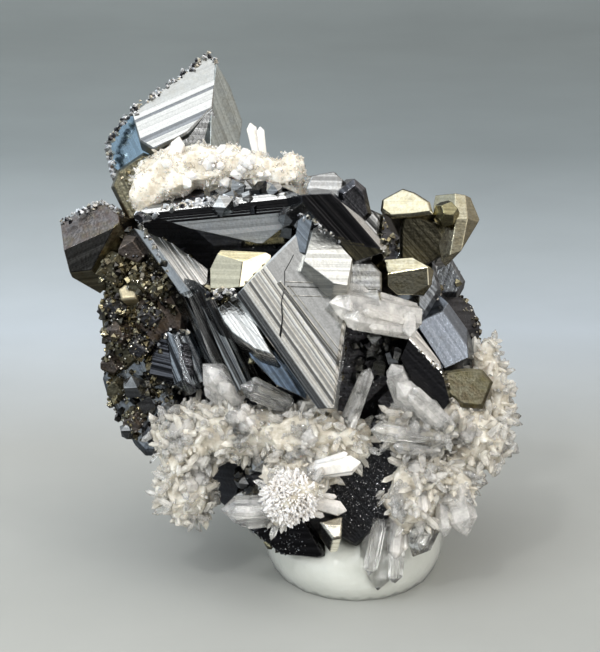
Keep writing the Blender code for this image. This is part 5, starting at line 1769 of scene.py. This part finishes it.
metal = metal_finish("tetrahedrite", (
    (0.30, (0.30, 0.36, 0.60)), (0.45, (0.75, 0.72, 0.60)), (0.55, (0.60, 0.45, 0.24)),
    (0.72, (0.34, 0.33, 0.30))))
brass = metal_finish("pyrite", (
    (0.30, (0.62, 0.52, 0.34)), (0.50, (0.90, 0.84, 0.66)), (0.72, (0.42, 0.34, 0.18))))
tarnished = metal_finish("tarnished_pyrite", (
    (0.30, (0.40, 0.25, 0.26)), (0.48, (0.60, 0.42, 0.26)), (0.62, (0.70, 0.62, 0.32)),
    (0.75, (0.25, 0.24, 0.16))))
milky = quartz_finish("milky_quartz", 0.06, 0.03, white=0.0)
snowy = quartz_finish("snowy_quartz", 0.10, 0.03, white=1.0)
sugary = quartz_finish("sugary_quartz", 0.08, 0.03, white=0.05)
glassy = quartz_finish("glassy_quartz", 0.02, 0.015, white=0.8)
clear = quartz_finish("clear_quartz", 0.02, 0.02, white=0.6)
putty_white = putty_finish()

fit(make_piece("tetrahedrite_crystals", TETRAHEDRITE, metal), "tetrahedrite", "tetrahedrite_group")
grains = []
for k, (path, count, small, large) in enumerate(GRAINY_EDGES):
    grains += edge_grains(path, count, small, large, seed=60 + k)
fit(make_piece("tetrahedrite_grains", grains, metal), "tetrahedrite")
for name, solids, finish, slot in (
    ("pyrite_left", PYRITE_LEFT, tarnished, "tarnished_pyrite"),
    ("pyrite_middle", PYRITE_MIDDLE, brass, "pyrite"),
    ("pyrite_cluster", PYRITE_CLUSTER, brass, "pyrite"),
    ("pyrite_inner", PYRITE_INNER, brass, "pyrite"),
    ("pyrite_right", PYRITE_RIGHT, tarnished, "tarnished_pyrite"),
    ("pyrite_low", PYRITE_LOW, brass, "pyrite"),
    ("pyrite_speck", PYRITE_SPECK, brass, "pyrite"),
    ("pyrite_back", PYRITE_BACK, brass, "pyrite"),
):
    fit(make_piece(name + "_crystals", solids, finish), slot, name)

# The small crystals that grow on surfaces: how wide, how long and how pointed, in millimetres
chip = seed_crystal("chip", 1.0, 0.8, 0.35, sides=4)
chunk = seed_crystal("chunk", 1.1, 0.9, 0.35, sides=5)
blade = seed_crystal("blade", 0.30, 1.0, 0.16)
grain = seed_crystal("grain", 0.80, 1.0, 0.45)
stub = seed_crystal("stub", 0.44, 1.0, 0.30)
for name, cover, crystal, growth, seed, tints, surface in (
    ("crust", crust_in(ROUGH_ZONES, 0.35), chip, (4.2, 0.20, 0.75, 2.2), 3,
     (BLACK, GOLDEN_GREY), (0.3, 0.16, 0.3, 0.5)),
    ("sparkles", crust_in(ROUGH_ZONES, 0.2), chip, (9.0, 0.10, 0.28, 1.6), 4,
     (DARK, PALE_BRASS), (0.1, 0.10, 0.1, 0.3)),
    ("dust", crust_in(DUSTY_ZONES), chip, (30.0, 0.05, 0.16, 1.6), 5,
     (BLACK, SILVER), (0.1, 0.25, 0.1, 0.0)),
    ("facets", crust_in(JUMBLED_ZONES), chunk, (1.0, 0.7, 1.9, 1.7), 6,
     (BLACK, GREY), (0.3, 0.14, 0.2, 0.1)),
):
    grown = grow_crust("tetrahedrite_" + name, nodes["tetrahedrite_group"], cover, crystal, growth, seed,
                       tints, metal, surface)
    fit(grown, "tetrahedrite")

# The quartz crusts, and how their sugar, their blades and their stubs grow
bases = {}
for name, solids, young, look, sugar, blades, stubs in (
    ("quartz_crest", QUARTZ_CREST, 1, sugary, (5.0, 0.10, 0.30), (0.4, 0.3, 0.7), (0.5, 0.25, 0.6)),
    ("quartz_left", QUARTZ_LEFT, 4, milky, (1.4, 0.15, 0.40), (0.35, 0.6, 1.1), (2.0, 0.5, 1.5)),
    ("quartz_right", QUARTZ_RIGHT, 4, milky, (1.4, 0.15, 0.40), (0.35, 0.6, 1.2), (2.0, 0.5, 1.5)),
    ("quartz_back", QUARTZ_BACK, 1, milky, (1.4, 0.15, 0.40), (0.35, 0.6, 1.1), (1.4, 0.45, 1.15)),
):
    lumps = knobs(boulders_of(solids), count=8, seed=17)
    bases[name] = make_crust(name + "_crust", lumps, look, MILKY if look is sugary else CLOUDY)
    fit(bases[name], "milky_quartz", name)
    prisms = with_young(prisms_of(solids), count=young, seed=7)
    fit(make_piece(name + "_points", prisms, glassy), "milky_quartz")
    for part, crystal, growth, seed, tints in (
        ("_stubs", stub, (*stubs, 1.3), 15, (GLASSY, HAZY)),
        ("_sugar", grain, (*sugar, 3.0), 11, (CLEAR, MILKY)),
        ("_blades", blade, (*blades, 2.2), 12, (CLEAR, CLOUDED)),
    ):
        grown = grow_crust(name + part, bases[name], off_tuft, crystal, growth, seed, tints, look)
        fit(grown, "milky_quartz")

lumps = [lump for lump in boulders_of(QUARTZ_LEFT) if by_tuft(lump.middle, TUFT_HEART)]
heart = make_crust("quartz_left_tuft", lumps, snowy, MILKY, voxel=0.2)
fit(heart, "milky_quartz")
for name, base, cover in (
    ("quartz_left_fur", heart, everywhere),
    ("quartz_left_down", bases["quartz_left"], on_tuft),
):
    fur = grow_crust(name, base, cover, blade, (20.0, 0.25, 0.75, 0.7), 13, (MILKY, SNOW), snowy)
    fit(fur, "milky_quartz")
prisms = with_young(prisms_of(QUARTZ_MIDDLE), count=3, seed=9)
fit(make_piece("quartz_middle_points", prisms, clear), "clear_quartz", "quartz_middle")
for crystal in (chip, chunk, blade, grain, stub):
    bpy.data.objects.remove(crystal)

fit(make_putty(nodes["mounting_putty"], putty_white), "mounting_putty", "mounting_putty")

make_camera()
make_stage()
make_light()

boxes = {"solids": solids_box, "scene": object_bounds()}
{key: [list(corner) for corner in box] for key, box in boxes.items()}
